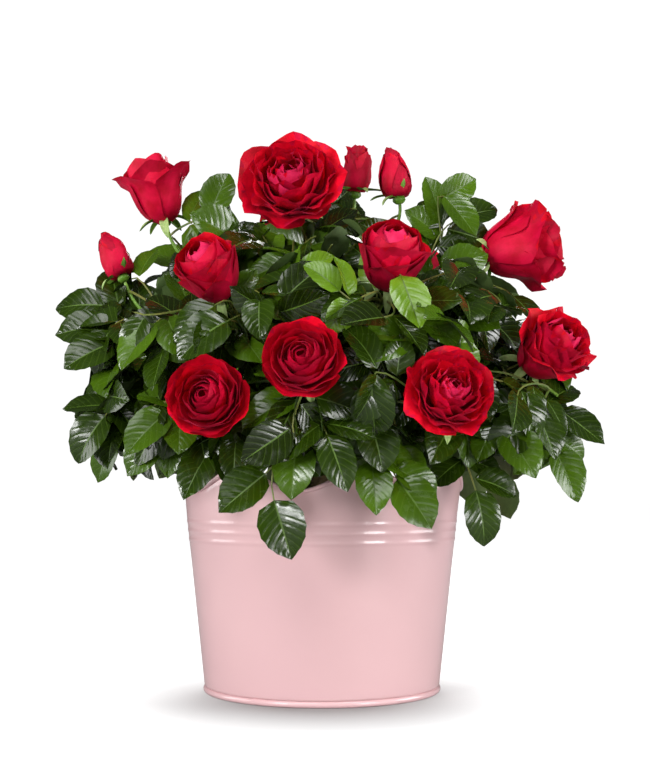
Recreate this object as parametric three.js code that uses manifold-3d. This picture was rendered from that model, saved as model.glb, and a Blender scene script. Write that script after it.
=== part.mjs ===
// A rose bush in a scalloped metal pot. Millimetres, +Z up, the pot's underside centred on the origin.
// A short woody stem stands on the compost. Canes leave it on all sides, and each cane carries one mass of
// flowering and leafy shoots. A mass keeps to the part of the crown that lies nearest to its own middle.

import * as THREE from "three";
import { mergeVertices } from "three/addons/utils/BufferGeometryUtils.js";
import Module from "manifold-3d";

const wasm = await Module();
wasm.setup();

// ---------------------------------------------------------------- driving dimensions

const CLEARANCE = 0.35; // between solids that touch on the real plant
const GOLDEN_ANGLE = 137.5; // degrees from one leaf to the next
const SLIVER = 0.05; // anything thinner on a joined solid is smoothed away

const POT = {
  baseRadius: 66.5,
  rimRadius: 80,
  height: 120.5, // mean height of the rim
  wall: 1.2,
  floor: 1.5,
  segments: 42,
  scallops: 7,
  scallopRise: 5.8, // above and below the mean height
  firstPeak: 17, // heading of one scallop's peak, degrees
  ribHeights: [86, 91, 96],
  ribPitch: 5,
  ribRise: 0.7,
  footBead: { rise: 1.1, height: 3.6 },
  rimBead: { rise: 1.5, height: 2.6 },
};

const COMPOST_TOP = 106;

const STEM = { radius: 16, flare: 18, middle: 116, flareHeight: 3.5, segments: 16 };

const CANE = { footRadius: 1.7, tipRadius: 1.35, sides: 5, steps: 4 };

const SHOOT = { rootRadius: 1.3, branchRadius: 1.1, tipRadius: 0.85, sides: 3, stepLength: 24, nodeSpacing: 6 };

// Leaves have three leaflets, larger than life, because the solids have fewer of them.
const LEAF = {
  stalkRadius: 0.8,
  stalkSunk: 0.5, // of a stalk's root in its twig
  pairRoot: 5, // of the stalk's end that the pair of side leaflets grows from
  leafletLength: 44,
  leafletWidth: 28,
  thickness: 0.9,
  sideShare: 0.86, // a side leaflet's size against the end one's
  spread: 80, // degrees from the end leaflet to a side one
  follow: 2.0, // how far the end leaflet follows its stalk's way
  leastForward: 0.3, // of the end leaflet's way, along the stalk
  leastFacing: 0.5, // of the blade's upper side, to the stalk's upper side
  leastAside: 0.66, // of a side leaflet's way, square to the stalk and away from it
  stalkLengths: [12, 34, 66], // least, best and most
  tries: 30,
};

// The crown's outline on its wide sides, as [reach, height] from its skirt to its top.
const CROWN = {
  outline: [[122, 122], [136, 146], [140, 180], [138, 214], [124, 246], [98, 276], [58, 300], [0, 314]],
  depthShare: 0.88, // of that reach at the front and the back
  layers: [1, 0.86, 0.93, 0.76], // leaves lie at these shares of the way out from the heart
  heart: 150, // height of the middle that the leaves face away from
  lean: 0.25, // of the leaves' faces towards the front or the back
  leaves: 560,
};

// A bloom's outline from hip to heart, as [radius, height] in diameters about its middle.
const BLOOM_OUTLINES = {
  open: [
    [0, -0.4], [0.09, -0.36], [0.08, -0.28], [0.36, -0.16], [0.5, 0.08],
    [0.34, 0.05], [0.27, 0.18], [0.14, 0.1], [0, 0.18],
  ],
  half: [
    [0, -0.66], [0.1, -0.62], [0.08, -0.52], [0.38, -0.34], [0.5, 0.0], [0.46, 0.24],
    [0.3, 0.34], [0.16, 0.24], [0, 0.32],
  ],
  bud: [
    [0, -0.86], [0.17, -0.8], [0.13, -0.64], [0.44, -0.4], [0.5, -0.06], [0.38, 0.3],
    [0.16, 0.6], [0, 0.56],
  ],
};
const BLOOM = { segments: 10, lobes: 5, lobeRise: 0.07, hipRings: 3, clearAhead: 0.62 };

// Each mass: where its cane ends, then its shoots and the furthest of its leaves. A place is
// [heading, reach, height]: degrees round the pot from the front towards +X, and mm out from the axis and up
// from the table. A shoot with no bloom ends in a leaf whose tip is there. A bloom's face is
// [heading, elevation] in degrees.
const MASSES = {
  front_low: {
    fork: [-5, 60, 144],
    shoots: [{ tip: [-4, 128, 179], bloom: "open", diameter: 41, face: [-8, 20] }],
    leafTips: [[-7, 119, 81], [-22, 124, 104], [8, 131, 116]],
  },
  front_left_low: {
    fork: [-31, 62, 142],
    shoots: [{ tip: [-27, 126, 161], bloom: "open", diameter: 41, face: [-14, 12] }],
    leafTips: [[-36, 121, 112], [-44, 144, 137], [-52, 132, 124]],
  },
  front_right_low: {
    fork: [27, 60, 142],
    shoots: [{ tip: [31, 126, 164], bloom: "open", diameter: 48, face: [14, 24] }],
    leafTips: [[30, 120, 97], [15, 114, 103]],
  },
  left_low: {
    fork: [-66, 62, 142],
    shoots: [{ tip: [-76, 140, 152] }],
    leafTips: [[-66, 149, 132], [-86, 134, 118], [-98, 144, 136]],
  },
  right_low: {
    fork: [60, 64, 142],
    shoots: [{ tip: [74, 162, 140] }],
    leafTips: [[70, 149, 108], [47, 121, 86], [56, 138, 124]],
  },
  right: {
    fork: [76, 62, 165],
    shoots: [
      { tip: [71, 136, 194], bloom: "half", diameter: 42, face: [52, 34] },
      { tip: [96, 140, 190] },
    ],
    leafTips: [[83, 140, 166]],
  },
  left: {
    fork: [-78, 58, 178],
    shoots: [
      { tip: [-83, 121, 249], bloom: "bud", diameter: 22, face: [-95, 66] },
      { tip: [-79, 154, 204] },
    ],
    leafTips: [[-83, 156, 222], [-67, 152, 184], [-98, 148, 196]],
  },
  front_left: {
    fork: [-38, 50, 185],
    shoots: [{ tip: [-37, 100, 231], bloom: "half", diameter: 36, face: [-28, 42] }],
    leafTips: [[-55, 130, 216], [-30, 124, 200]],
  },
  front_right: {
    fork: [20, 46, 188],
    shoots: [{ tip: [25, 88, 239], bloom: "half", diameter: 38, face: [12, 50] }],
    leafTips: [[36, 118, 215], [3, 108, 224]],
  },
  right_top: {
    fork: [72, 50, 198],
    shoots: [
      { tip: [92, 122, 257], bloom: "open", diameter: 52, face: [104, 8] },
      { tip: [66, 126, 228] },
    ],
    leafTips: [[51, 119, 206], [75, 98, 252], [108, 128, 230]],
  },
  left_top: {
    fork: [-92, 42, 210],
    shoots: [
      { tip: [-87, 98, 291], bloom: "half", diameter: 38, face: [-70, 72] },
      { tip: [-106, 112, 262] },
    ],
    leafTips: [[-112, 82, 294], [-70, 104, 256]],
  },
  top_right: {
    fork: [62, 38, 212],
    shoots: [{ tip: [90, 64, 300] }],
    leafTips: [[70, 68, 275], [90, 106, 284]],
  },
  top: {
    fork: [-30, 22, 220],
    shoots: [{ tip: [-27, 39, 287], bloom: "open", diameter: 60, face: [-6, 36] }],
    leafTips: [[-60, 84, 268], [8, 84, 258]],
  },
  top_buds: {
    fork: [112, 24, 222],
    shoots: [
      { tip: [133, 29, 308], bloom: "bud", diameter: 23, face: [20, 80] },
      { tip: [97, 43, 302], bloom: "bud", diameter: 23, face: [-80, 80] },
    ],
    leafTips: [[150, 24, 324]],
  },
  back_low: {
    fork: [175, 60, 142],
    shoots: [{ tip: [176, 126, 172], bloom: "open", diameter: 44, face: [178, 16] }],
    leafTips: [[161, 126, 100], [-166, 128, 108], [179, 119, 88]],
  },
  back_right_low: {
    fork: [122, 62, 142],
    shoots: [{ tip: [127, 126, 184], bloom: "half", diameter: 40, face: [130, 34] }],
    leafTips: [[106, 146, 134], [132, 134, 104], [114, 130, 96]],
  },
  back_left_low: {
    fork: [-126, 62, 142],
    shoots: [{ tip: [-140, 124, 178], bloom: "open", diameter: 42, face: [-144, 22] }],
    leafTips: [[-112, 146, 140], [-146, 128, 104], [-126, 132, 98]],
  },
  back_right: {
    fork: [136, 48, 188],
    shoots: [{ tip: [138, 96, 246], bloom: "open", diameter: 46, face: [140, 34] }],
    leafTips: [[118, 132, 222], [158, 126, 216]],
  },
  back_left: {
    fork: [-140, 48, 188],
    shoots: [{ tip: [-132, 98, 248], bloom: "half", diameter: 38, face: [-136, 46] }],
    leafTips: [[-116, 132, 218], [-160, 124, 222]],
  },
  back_top: {
    fork: [178, 34, 216],
    shoots: [{ tip: [174, 62, 284], bloom: "open", diameter: 54, face: [172, 44] }],
    leafTips: [[-150, 88, 270], [146, 88, 268]],
  },
};

const COLOURS = {
  pot: 0xe9c2c5,
  compost: 0x3a2a20,
  bark: 0x5b5230,
  cane: 0x4c5a26,
  foliage: 0x2c4a1c,
  flowering: 0x3a4a1e,
};

// ---------------------------------------------------------------- small helpers

const UP = new THREE.Vector3(0, 0, 1);
const radians = THREE.MathUtils.degToRad;

// A repeatable number from 0 to 1 for three whole numbers.
function chance(a, b, c) {
  const s = Math.sin(a * 12.9898 + b * 78.233 + c * 37.719) * 43758.5453;
  return s - Math.floor(s);
}

// The same, from -1 to 1.
const jitter = (a, b, c) => 2 * chance(a, b, c) - 1;

function place([heading, reach, height]) {
  const a = radians(heading);
  return new THREE.Vector3(reach * Math.sin(a), -reach * Math.cos(a), height);
}

function direction(heading, elevation) {
  const e = radians(elevation);
  return place([heading, Math.cos(e), Math.sin(e)]);
}

// The direction out from the pot's axis at a point.
function outward(point) {
  const flat = new THREE.Vector3(point.x, point.y, 0);
  return flat.length() > 1 ? flat.normalize() : new THREE.Vector3(0, -1, 0);
}

const along = (point, way, distance) => point.clone().addScaledVector(way, distance);

// The part of a vector that is square to a unit vector, made a unit vector.
function squareTo(vector, axis) {
  return vector.clone().addScaledVector(axis, -vector.dot(axis)).normalize();
}

function solidOf(geometry) {
  const bare = geometry.clone();
  bare.deleteAttribute("normal");
  bare.deleteAttribute("uv");
  const merged = mergeVertices(bare, 1e-3);
  return new wasm.Manifold(
    new wasm.Mesh({
      numProp: 3,
      vertProperties: merged.attributes.position.array,
      triVerts: new Uint32Array(merged.index.array),
    }),
  );
}

function geometryOf(solid) {
  const mesh = solid.getMesh();
  const geometry = new THREE.BufferGeometry();
  geometry.setAttribute("position", new THREE.BufferAttribute(mesh.vertProperties, 3));
  geometry.setIndex(new THREE.BufferAttribute(mesh.triVerts, 1));
  return geometry;
}

// The largest body of a solid, with slivers, sealed pockets and loose bits left out.
function mainBody(solid) {
  const largest = (many) => many.decompose().sort((a, b) => b.volume() - a.volume())[0];
  return largest(solidOf(geometryOf(largest(solid.simplify(SLIVER)))));
}

function meshGeometry(points, faces) {
  const geometry = new THREE.BufferGeometry();
  geometry.setAttribute("position", new THREE.Float32BufferAttribute(points.flatMap((p) => p.toArray()), 3));
  geometry.setIndex(faces.flat());
  return geometry;
}

// A round shape from [radius, height] pairs, standing on Z with heading 0 towards -Y.
function turned(outline, segments) {
  const profile = outline.map(([radius, height]) => new THREE.Vector2(radius, height));
  return new THREE.LatheGeometry(profile, segments).rotateX(Math.PI / 2);
}

// A round limb through a line of points, tapering from its root to its tip and closed at both ends.
function limbThrough(line, rootRadius, tipRadius, sides) {
  const last = line.length - 1;
  const points = [];
  const faces = [];
  let across = new THREE.Vector3(0.3, 0.2, 1);
  line.forEach((middle, i) => {
    const way = line[Math.min(i + 1, last)].clone().sub(line[Math.max(i - 1, 0)]).normalize();
    across = squareTo(across, way);
    const side = new THREE.Vector3().crossVectors(way, across);
    const radius = THREE.MathUtils.lerp(rootRadius, tipRadius, i / last);
    for (let j = 0; j < sides; j++) {
      const a = (2 * Math.PI * j) / sides;
      points.push(along(along(middle, across, radius * Math.cos(a)), side, radius * Math.sin(a)));
    }
  });
  for (let i = 0; i < last; i++) {
    for (let j = 0; j < sides; j++) {
      const a = i * sides + j;
      const b = i * sides + ((j + 1) % sides);
      faces.push([a, b, a + sides], [b, b + sides, a + sides]);
    }
  }
  const end = last * sides;
  for (let j = 1; j < sides - 1; j++) {
    faces.push([0, j + 1, j], [end, end + j, end + j + 1]);
  }
  return meshGeometry(points, faces);
}

const limb = (curve, rootRadius, tipRadius, sides, steps) =>
  limbThrough(curve.getSpacedPoints(steps), rootRadius, tipRadius, sides);

// ---------------------------------------------------------------- pot, compost and stem

const wallRadius = (height) =>
  THREE.MathUtils.mapLinear(height, 0, POT.height, POT.baseRadius, POT.rimRadius);

// The wall above the ribs stretches up and down to the scallops.
function scallop(geometry) {
  const start = POT.ribHeights.at(-1) + POT.ribPitch / 2;
  const position = geometry.attributes.position;
  for (let i = 0; i < position.count; i++) {
    const heading = Math.atan2(position.getX(i), -position.getY(i));
    const share = THREE.MathUtils.clamp((position.getZ(i) - start) / (POT.height - start), 0, 1);
    const wave = Math.cos(POT.scallops * (heading - radians(POT.firstPeak)));
    position.setZ(i, position.getZ(i) + share * POT.scallopRise * wave);
  }
  return geometry;
}

function potGeometry() {
  const { height, wall, floor, ribRise, ribPitch, footBead, rimBead } = POT;
  const rim = wallRadius(height);
  const outline = [
    [0, 0],
    [POT.baseRadius, 0],
    [POT.baseRadius + footBead.rise, 0.3 * footBead.height],
    [POT.baseRadius + footBead.rise, 0.75 * footBead.height],
    [wallRadius(footBead.height), footBead.height],
  ];
  POT.ribHeights.forEach((rib) => {
    outline.push([wallRadius(rib - ribPitch / 2), rib - ribPitch / 2]);
    outline.push([wallRadius(rib) + ribRise, rib]);
  });
  const lastRib = POT.ribHeights.at(-1) + ribPitch / 2;
  outline.push([wallRadius(lastRib), lastRib]);
  outline.push([rim, height - rimBead.height]);
  outline.push([rim + rimBead.rise, height - 0.5 * rimBead.height]);
  outline.push([rim + 0.4 * rimBead.rise, height]);
  outline.push([rim - wall, height - 0.4 * rimBead.height]);
  outline.push([wallRadius(lastRib) - wall, lastRib]);
  outline.push([wallRadius(floor) - wall, floor]);
  outline.push([0, floor]);
  return scallop(turned(outline, POT.segments));
}

function compostGeometry() {
  const foot = POT.floor + CLEARANCE;
  const gap = POT.wall + CLEARANCE;
  const outline = [
    [0, foot],
    [wallRadius(foot) - gap, foot],
    [wallRadius(POT.ribHeights.at(-1)) - gap - 0.4, POT.ribHeights.at(-1)],
    [wallRadius(COMPOST_TOP) - gap - 0.6, COMPOST_TOP],
    [0, COMPOST_TOP],
  ];
  return turned(outline, POT.segments);
}

function stemGeometry() {
  const base = COMPOST_TOP + CLEARANCE;
  const outline = [[0, base], [STEM.flare, base], [0.95 * STEM.radius, base + STEM.flareHeight]];
  for (let elevation = 0; elevation <= 80; elevation += 20) {
    const e = radians(elevation);
    outline.push([STEM.radius * Math.cos(e), STEM.middle + STEM.radius * Math.sin(e)]);
  }
  outline.push([0, STEM.middle + STEM.radius]);
  return turned(outline, STEM.segments);
}

// ---------------------------------------------------------------- limbs

// A limb's curve from one point and way to another.
function bend(start, startWay, end, endWay, fullness = 0.36) {
  const reach = start.distanceTo(end) * fullness;
  return new THREE.CubicBezierCurve3(
    start,
    along(start, startWay, reach),
    along(end, endWay, -reach),
    end,
  );
}

// The way a leaf's tip points where it stands out of the crown: it hangs at the skirt and rises at the top.
function standOutWay(tip) {
  const droop = radians(THREE.MathUtils.clamp(75 - 0.55 * (tip.z - 85), -35, 75));
  return outward(tip).multiplyScalar(Math.cos(droop)).addScaledVector(UP, -Math.sin(droop));
}

// Where a shoot's twig ends and the way it points there: under its bloom, or where its end leaflet starts.
function shootEnd(shoot) {
  const tip = place(shoot.tip);
  if (shoot.bloom) {
    const face = direction(...shoot.face);
    const hip = -BLOOM_OUTLINES[shoot.bloom][2][1] * shoot.diameter;
    return { end: along(tip, face, -hip), way: face.clone().addScaledVector(UP, 0.5).normalize() };
  }
  const way = standOutWay(tip);
  return { end: along(tip, way, -LEAF.leafletLength), way };
}

function forkWay(mass) {
  const fork = place(mass.fork);
  const tip = place(mass.shoots[0].tip);
  return tip.sub(fork).normalize().addScaledVector(UP, 0.45).normalize();
}

function caneCurve(mass) {
  const fork = place(mass.fork);
  const middle = new THREE.Vector3(0, 0, STEM.middle);
  const way = fork.clone().sub(middle).normalize();
  const start = along(middle, way, STEM.radius + CLEARANCE);
  return bend(start, way, fork, forkWay(mass), 0.3);
}

// ---------------------------------------------------------------- blooms and leaves

// A lathed head whose rings swell in turn, as whorls of petals do.
function bloomGeometry(kind, diameter, middle, face, turn) {
  const outline = BLOOM_OUTLINES[kind].map(([radius, height]) => [radius * diameter, height * diameter]);
  const geometry = turned(outline, BLOOM.segments);
  const position = geometry.attributes.position;
  for (let i = 0; i < position.count; i++) {
    const x = position.getX(i);
    const y = position.getY(i);
    const ring = i % outline.length;
    const rise = ring < BLOOM.hipRings ? 0 : BLOOM.lobeRise;
    const swell = 1 + rise * Math.cos(BLOOM.lobes * Math.atan2(x, -y) + Math.PI * ring);
    position.setXY(i, x * swell, y * swell);
  }
  geometry.rotateZ(radians(turn));
  geometry.applyQuaternion(new THREE.Quaternion().setFromUnitVectors(UP, face));
  return geometry.translate(middle.x, middle.y, middle.z);
}

// The frame of a leaf's stalk: the way it runs, its left side and its upper side.
function stalkFrame({ root, hinge, way, normal }) {
  const forward = hinge.clone().sub(root).normalize();
  const up = squareTo(normal.clone().sub(way), forward);
  return { forward, up, left: new THREE.Vector3().crossVectors(up, forward) };
}

const leafletWay = ({ way, normal }, turn) => way.clone().applyAxisAngle(normal, radians(turn));

// Whether a leaf carries on from its stalk, so that no leaflet folds back through it.
function carriesOn(shape) {
  const { forward, up } = stalkFrame(shape);
  return shape.way.dot(forward) > LEAF.leastForward && shape.normal.dot(up) > LEAF.leastFacing;
}

// Which leaflets, left, right and end, point away from the stalk.
function openLeaflets(shape) {
  const { left } = stalkFrame(shape);
  const aside = (turn) => Math.abs(leafletWay(shape, turn).dot(left)) > LEAF.leastAside;
  return [aside(LEAF.spread), aside(-LEAF.spread), true];
}

// A compound leaf as one closed surface: a three-sided stalk with a leaflet on each side of its end and one
// beyond it, each a thin kite with its tip bent down. A leaflet that isn't shown leaves the stalk plain. Slack
// makes everything a little thicker and larger, for testing what it would touch.
function leafGeometry(shape, shown, slack) {
  const { root, hinge, normal, size } = shape;
  const { forward, up, left } = stalkFrame(shape);
  const radius = LEAF.stalkRadius + slack;
  const stations = [along(root, forward, -LEAF.stalkSunk), along(hinge, forward, -size * LEAF.pairRoot), hinge];
  const ringAt = (c) => [along(c, left, radius), along(c, left, -radius), along(c, up, -radius)];
  const points = stations.flatMap(ringAt);
  const quad = (a, b) => [[a, b, a + 3], [b, b + 3, a + 3]];
  const faces = [[0, 2, 1], ...quad(0, 1), ...quad(1, 2), ...quad(2, 0), ...quad(3, 4)];

  // An opening's corners run low, high, high, low, as they are seen from outside.
  function addLeaflet([low1, high1, high2, low2], turn, share, isShown) {
    if (!isShown) {
      faces.push([low1, high1, high2]);
      if (low1 !== low2) {
        faces.push([low1, high2, low2]);
      }
      return;
    }
    const bladeWay = leafletWay(shape, turn);
    const side = new THREE.Vector3().crossVectors(normal, bladeWay);
    const foot = points[high1].clone().lerp(points[high2], 0.5);
    const length = share * size * LEAF.leafletLength + slack;
    const width = share * size * LEAF.leafletWidth + 2 * slack;
    const at = (a, s, n) => along(along(along(foot, bladeWay, a * length), side, s * width), normal, n);
    const half = LEAF.thickness / 2 + slack;
    const edge1 = points.length;
    const [tip, edge2, above, below] = [edge1 + 1, edge1 + 2, edge1 + 3, edge1 + 4];
    points.push(at(0.4, 0.5, 1), at(1, 0, -2.5), at(0.4, -0.5, 1), at(0.42, 0, half), at(0.42, 0, -half));
    for (const [a, b] of [[high1, high2], [high2, edge2], [edge2, tip], [tip, edge1], [edge1, high1]]) {
      faces.push([a, b, above]);
    }
    for (const [a, b] of [[low2, low1], [low1, edge1], [edge1, tip], [tip, edge2], [edge2, low2]]) {
      if (a !== b) {
        faces.push([a, b, below]);
      }
    }
    faces.push([low1, high1, edge1], [high2, low2, edge2]);
  }

  addLeaflet([5, 3, 6, 8], LEAF.spread, LEAF.sideShare, shown[0]);
  addLeaflet([8, 7, 4, 5], -LEAF.spread, LEAF.sideShare, shown[1]);
  addLeaflet([8, 6, 7, 8], 0, 1, shown[2]);
  return meshGeometry(points, faces);
}

// ---------------------------------------------------------------- the crown's shape

const HEART = new THREE.Vector3(0, 0, CROWN.heart);
const crownCurve = new THREE.SplineCurve(CROWN.outline.map((corner) => new THREE.Vector2(...corner)));

// Places spread evenly over the crown by the golden angle, from its skirt to its top.
function crownPlace(i) {
  const skirt = CROWN.outline[0][1];
  const top = CROWN.outline.at(-1)[1];
  const height = THREE.MathUtils.lerp(skirt, top, (i + 0.5) / CROWN.leaves);
  let share = 0;
  while (share < 1 && crownCurve.getPoint(share).y < height) {
    share += 0.005;
  }
  const heading = i * GOLDEN_ANGLE;
  const narrow = THREE.MathUtils.lerp(CROWN.depthShare, 1, Math.sin(radians(heading)) ** 2);
  const surface = place([heading, Math.max(0, crownCurve.getPoint(share).x) * narrow, height]);
  return HEART.clone().lerp(surface, CROWN.layers[i % CROWN.layers.length]);
}

// ---------------------------------------------------------------- growing the crown

const massNames = Object.keys(MASSES);

const massMiddles = massNames.map((name) => {
  const mass = MASSES[name];
  const places = [mass.fork, ...mass.shoots.map((shoot) => shoot.tip), ...mass.leafTips].map(place);
  return places.reduce((sum, p) => sum.add(p), new THREE.Vector3()).divideScalar(places.length);
});

// The mass whose middle is nearest to a point.
function ownerOf(point) {
  const distances = massMiddles.map((middle) => middle.distanceTo(point));
  return distances.indexOf(Math.min(...distances));
}

const grown = []; // every solid so far, with its box, so that a new one can be tested against them

function keep(solid) {
  const item = { solid, box: solid.boundingBox() };
  grown.push(item);
  return item;
}

function boxesMeet(a, b) {
  return [0, 1, 2].every((k) => a.min[k] <= b.max[k] && b.min[k] <= a.max[k]);
}

function touchesAny(solid, except = []) {
  const box = solid.boundingBox();
  return grown.some(
    (item) =>
      !except.includes(item) && boxesMeet(box, item.box) && !solid.intersect(item.solid).isEmpty(),
  );
}

// The twigs and blooms of one mass. The first shoot starts at the cane's end, the others along the first.
function growShoots(name, index) {
  const mass = MASSES[name];
  const way = forkWay(mass);
  const fork = along(place(mass.fork), way, CLEARANCE);
  let main;
  return mass.shoots.map((shoot, s) => {
    const root = s ? main.getPointAt(0.1 + 0.1 * s) : fork;
    const rootWay = s ? place(shoot.tip).sub(root).normalize().addScaledVector(UP, 0.6).normalize() : way;
    const { end, way: endWay } = shootEnd(shoot);
    const curve = bend(root, rootWay, end, endWay);
    main ??= curve;
    const steps = Math.max(2, Math.round(curve.getLength() / SHOOT.stepLength));
    const rootRadius = s ? SHOOT.branchRadius : SHOOT.rootRadius;
    const twig = keep(solidOf(limb(curve, rootRadius, SHOOT.tipRadius, SHOOT.sides, steps)));
    const parts = [twig];
    let bloom = null;
    if (shoot.bloom) {
      bloom = { middle: place(shoot.tip), face: direction(...shoot.face), diameter: shoot.diameter };
      const turn = 72 * chance(index, s, 1);
      parts.push(keep(solidOf(bloomGeometry(shoot.bloom, shoot.diameter, bloom.middle, bloom.face, turn))));
    }
    const nodes = curve.getSpacedPoints(Math.round(curve.getLength() / SHOOT.nodeSpacing)).slice(1, -1);
    return { parts, bloom, nodes: nodes.map((point) => ({ point, twig })) };
  });
}

const massShoots = [];
const massParts = [];
const blooms = [];

// A leaf leaves the open side of every bloom free.
function hidesBloom(point) {
  return blooms.some(({ middle, face, diameter }) => {
    const offset = point.clone().sub(middle);
    const ahead = offset.dot(face);
    return ahead > 0 && along(offset, face, -ahead).length() < BLOOM.clearAhead * diameter;
  });
}

// Grows a leaf with its tip at a place, from the twig node of its mass that gives it the best stalk. What
// would touch another piece is skipped. A leaf may meet only its own twig.
function growLeaf(index, tip, way, face, size) {
  const [least, best, most] = LEAF.stalkLengths;
  const shapes = massShoots[index]
    .flatMap((shoot) => shoot.nodes)
    .map(({ point, twig }) => {
      const bladeWay = way.clone().addScaledVector(tip.clone().sub(point).normalize(), LEAF.follow).normalize();
      const hinge = along(tip, bladeWay, -size * LEAF.leafletLength);
      const stalk = point.distanceTo(hinge);
      return { twig, stalk, root: point, hinge, way: bladeWay, normal: squareTo(face, bladeWay), size };
    })
    .filter((shape) => shape.stalk > least && shape.stalk < most && carriesOn(shape))
    .sort((a, b) => Math.abs(a.stalk - best) - Math.abs(b.stalk - best))
    .slice(0, LEAF.tries);
  for (const shape of shapes) {
    const open = openLeaflets(shape);
    const alone = (i) => [0, 1, 2].map((k) => k === i);
    const clear = (i) => !touchesAny(solidOf(leafGeometry(shape, alone(i), CLEARANCE)), [shape.twig]);
    const shown = open.map((isOpen, i) => isOpen && clear(i));
    if (shown[2] || (shown[0] && shown[1])) {
      massParts[index].push(keep(solidOf(leafGeometry(shape, shown, 0))));
      return;
    }
  }
}

// The way that a leaf's face leans: to the front in the front half of the crown, and to the back behind.
const leanOf = (point) => new THREE.Vector3(0, point.y < 20 ? -1 : 1, 0);

// A leaf whose tip stands out of the crown at a given place.
function growTipLeaf(index, tip) {
  const face = leanOf(tip).addScaledVector(UP, 0.8).addScaledVector(outward(tip), 0.5);
  growLeaf(index, tip, standOutWay(tip), face, 1);
}

// A leaf that fills the crown's side, lying along it and facing out and up.
function growCrownLeaf(i) {
  const middle = crownPlace(i);
  if (hidesBloom(middle)) {
    return;
  }
  const out = middle.clone().sub(HEART).normalize();
  const down = squareTo(outward(middle).addScaledVector(UP, -2), out);
  const way = down.applyAxisAngle(out, radians(75 * jitter(i, 1, 2)));
  const face = out.clone().addScaledVector(UP, 0.4 + 0.3 * jitter(i, 3, 4));
  face.addScaledVector(leanOf(middle), CROWN.lean);
  const tip = along(middle, way, 0.4 * LEAF.leafletLength);
  growLeaf(ownerOf(middle), tip, way, face, 0.94 + 0.1 * jitter(i, 5, 6));
}

const rose_bush = new THREE.Group();

function addMesh(name, geometry, colour, roughness, metalness = 0) {
  const material = new THREE.MeshStandardMaterial({ color: colour, roughness, metalness });
  const mesh = new THREE.Mesh(geometry, material);
  mesh.name = name;
  rose_bush.add(mesh);
}

for (const [name, geometry, colour, roughness, metalness] of [
  ["pot", potGeometry(), COLOURS.pot, 0.25, 0.2],
  ["compost", compostGeometry(), COLOURS.compost, 0.95, 0],
  ["stem", stemGeometry(), COLOURS.bark, 0.85, 0],
]) {
  keep(solidOf(geometry));
  addMesh(name, geometry, colour, roughness, metalness);
}

for (const name of massNames) {
  const geometry = limb(
    caneCurve(MASSES[name]),
    CANE.footRadius,
    CANE.tipRadius,
    CANE.sides,
    CANE.steps,
  );
  keep(solidOf(geometry));
  addMesh(`cane_${name}`, geometry, COLOURS.cane, 0.6);
}

massNames.forEach((name, index) => {
  const shoots = growShoots(name, index);
  massShoots.push(shoots);
  massParts.push(shoots.flatMap((shoot) => shoot.parts));
  blooms.push(...shoots.map((shoot) => shoot.bloom).filter(Boolean));
});
massNames.forEach((name, index) => {
  const leafyShoots = MASSES[name].shoots.filter((shoot) => !shoot.bloom);
  [...leafyShoots.map((shoot) => shoot.tip), ...MASSES[name].leafTips].forEach((tip) => {
    growTipLeaf(index, place(tip));
  });
});
for (let i = 0; i < CROWN.leaves; i++) {
  growCrownLeaf(i);
}

massNames.forEach((name, index) => {
  const whole = mainBody(wasm.Manifold.union(massParts[index].map((item) => item.solid)));
  const flowering = MASSES[name].shoots.some((shoot) => shoot.bloom);
  addMesh(`mass_${name}`, geometryOf(whole), flowering ? COLOURS.flowering : COLOURS.foliage, 0.5);
});

export default rose_bush;
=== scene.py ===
"""A rose bush in a scalloped metal pot, dressed over its plain solids.

Shapes are worked out in millimetres and made meshes in metres. +Z is up and the front faces -Y. A heading
is degrees round the pot from the front towards +X, and a place is (heading, reach from the axis, height).
"""

import bpy
import numpy as np
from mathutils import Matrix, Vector


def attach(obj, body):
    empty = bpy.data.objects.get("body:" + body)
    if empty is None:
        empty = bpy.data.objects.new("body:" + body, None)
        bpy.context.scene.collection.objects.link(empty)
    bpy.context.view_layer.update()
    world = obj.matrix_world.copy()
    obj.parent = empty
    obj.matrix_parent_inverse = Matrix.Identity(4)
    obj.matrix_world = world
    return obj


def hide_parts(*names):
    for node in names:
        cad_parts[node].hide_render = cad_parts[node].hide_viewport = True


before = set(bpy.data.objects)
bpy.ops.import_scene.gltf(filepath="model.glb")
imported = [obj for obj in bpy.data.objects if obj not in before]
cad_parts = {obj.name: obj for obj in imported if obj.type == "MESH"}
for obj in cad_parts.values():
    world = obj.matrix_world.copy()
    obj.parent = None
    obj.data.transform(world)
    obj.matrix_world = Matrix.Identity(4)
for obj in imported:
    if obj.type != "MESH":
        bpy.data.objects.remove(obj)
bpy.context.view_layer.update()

# ---------------------------------------------------------------- driving dimensions, mm and degrees

MM = 0.001
UP = np.array([0.0, 0.0, 1.0])
GOLDEN_ANGLE = 137.5

POT = dict(base=66.5, rim=80.0, height=120.5, wall=1.2, floor=1.5, foot_rise=1.1, foot_bead=1.75,
           ribs=(86.0, 91.0, 96.0), rib_pitch=5.0, rib_rise=0.22, bead=1.45,
           scallops=7, scallop_rise=5.8, first_peak=17.0, around=252)
CLEARANCE = 0.35  # between a piece and what carries it
COMPOST = dict(top=106.0, sink=0.9, inset=0.6, wall_heights=(100.5, 60.0))
STEM = dict(radius=16.0, middle=116.0, top=132.0)
CANE = dict(root=1.8, tip=1.4, sides=9, stations=22)
SHOOT = dict(root=1.3, branch=1.1, tip=0.95, sides=8, stations=18, node_spacing=5.0)
STALK = dict(root=0.75, tip=0.42, sides=5, stations=9, longest=46.0)

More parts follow.
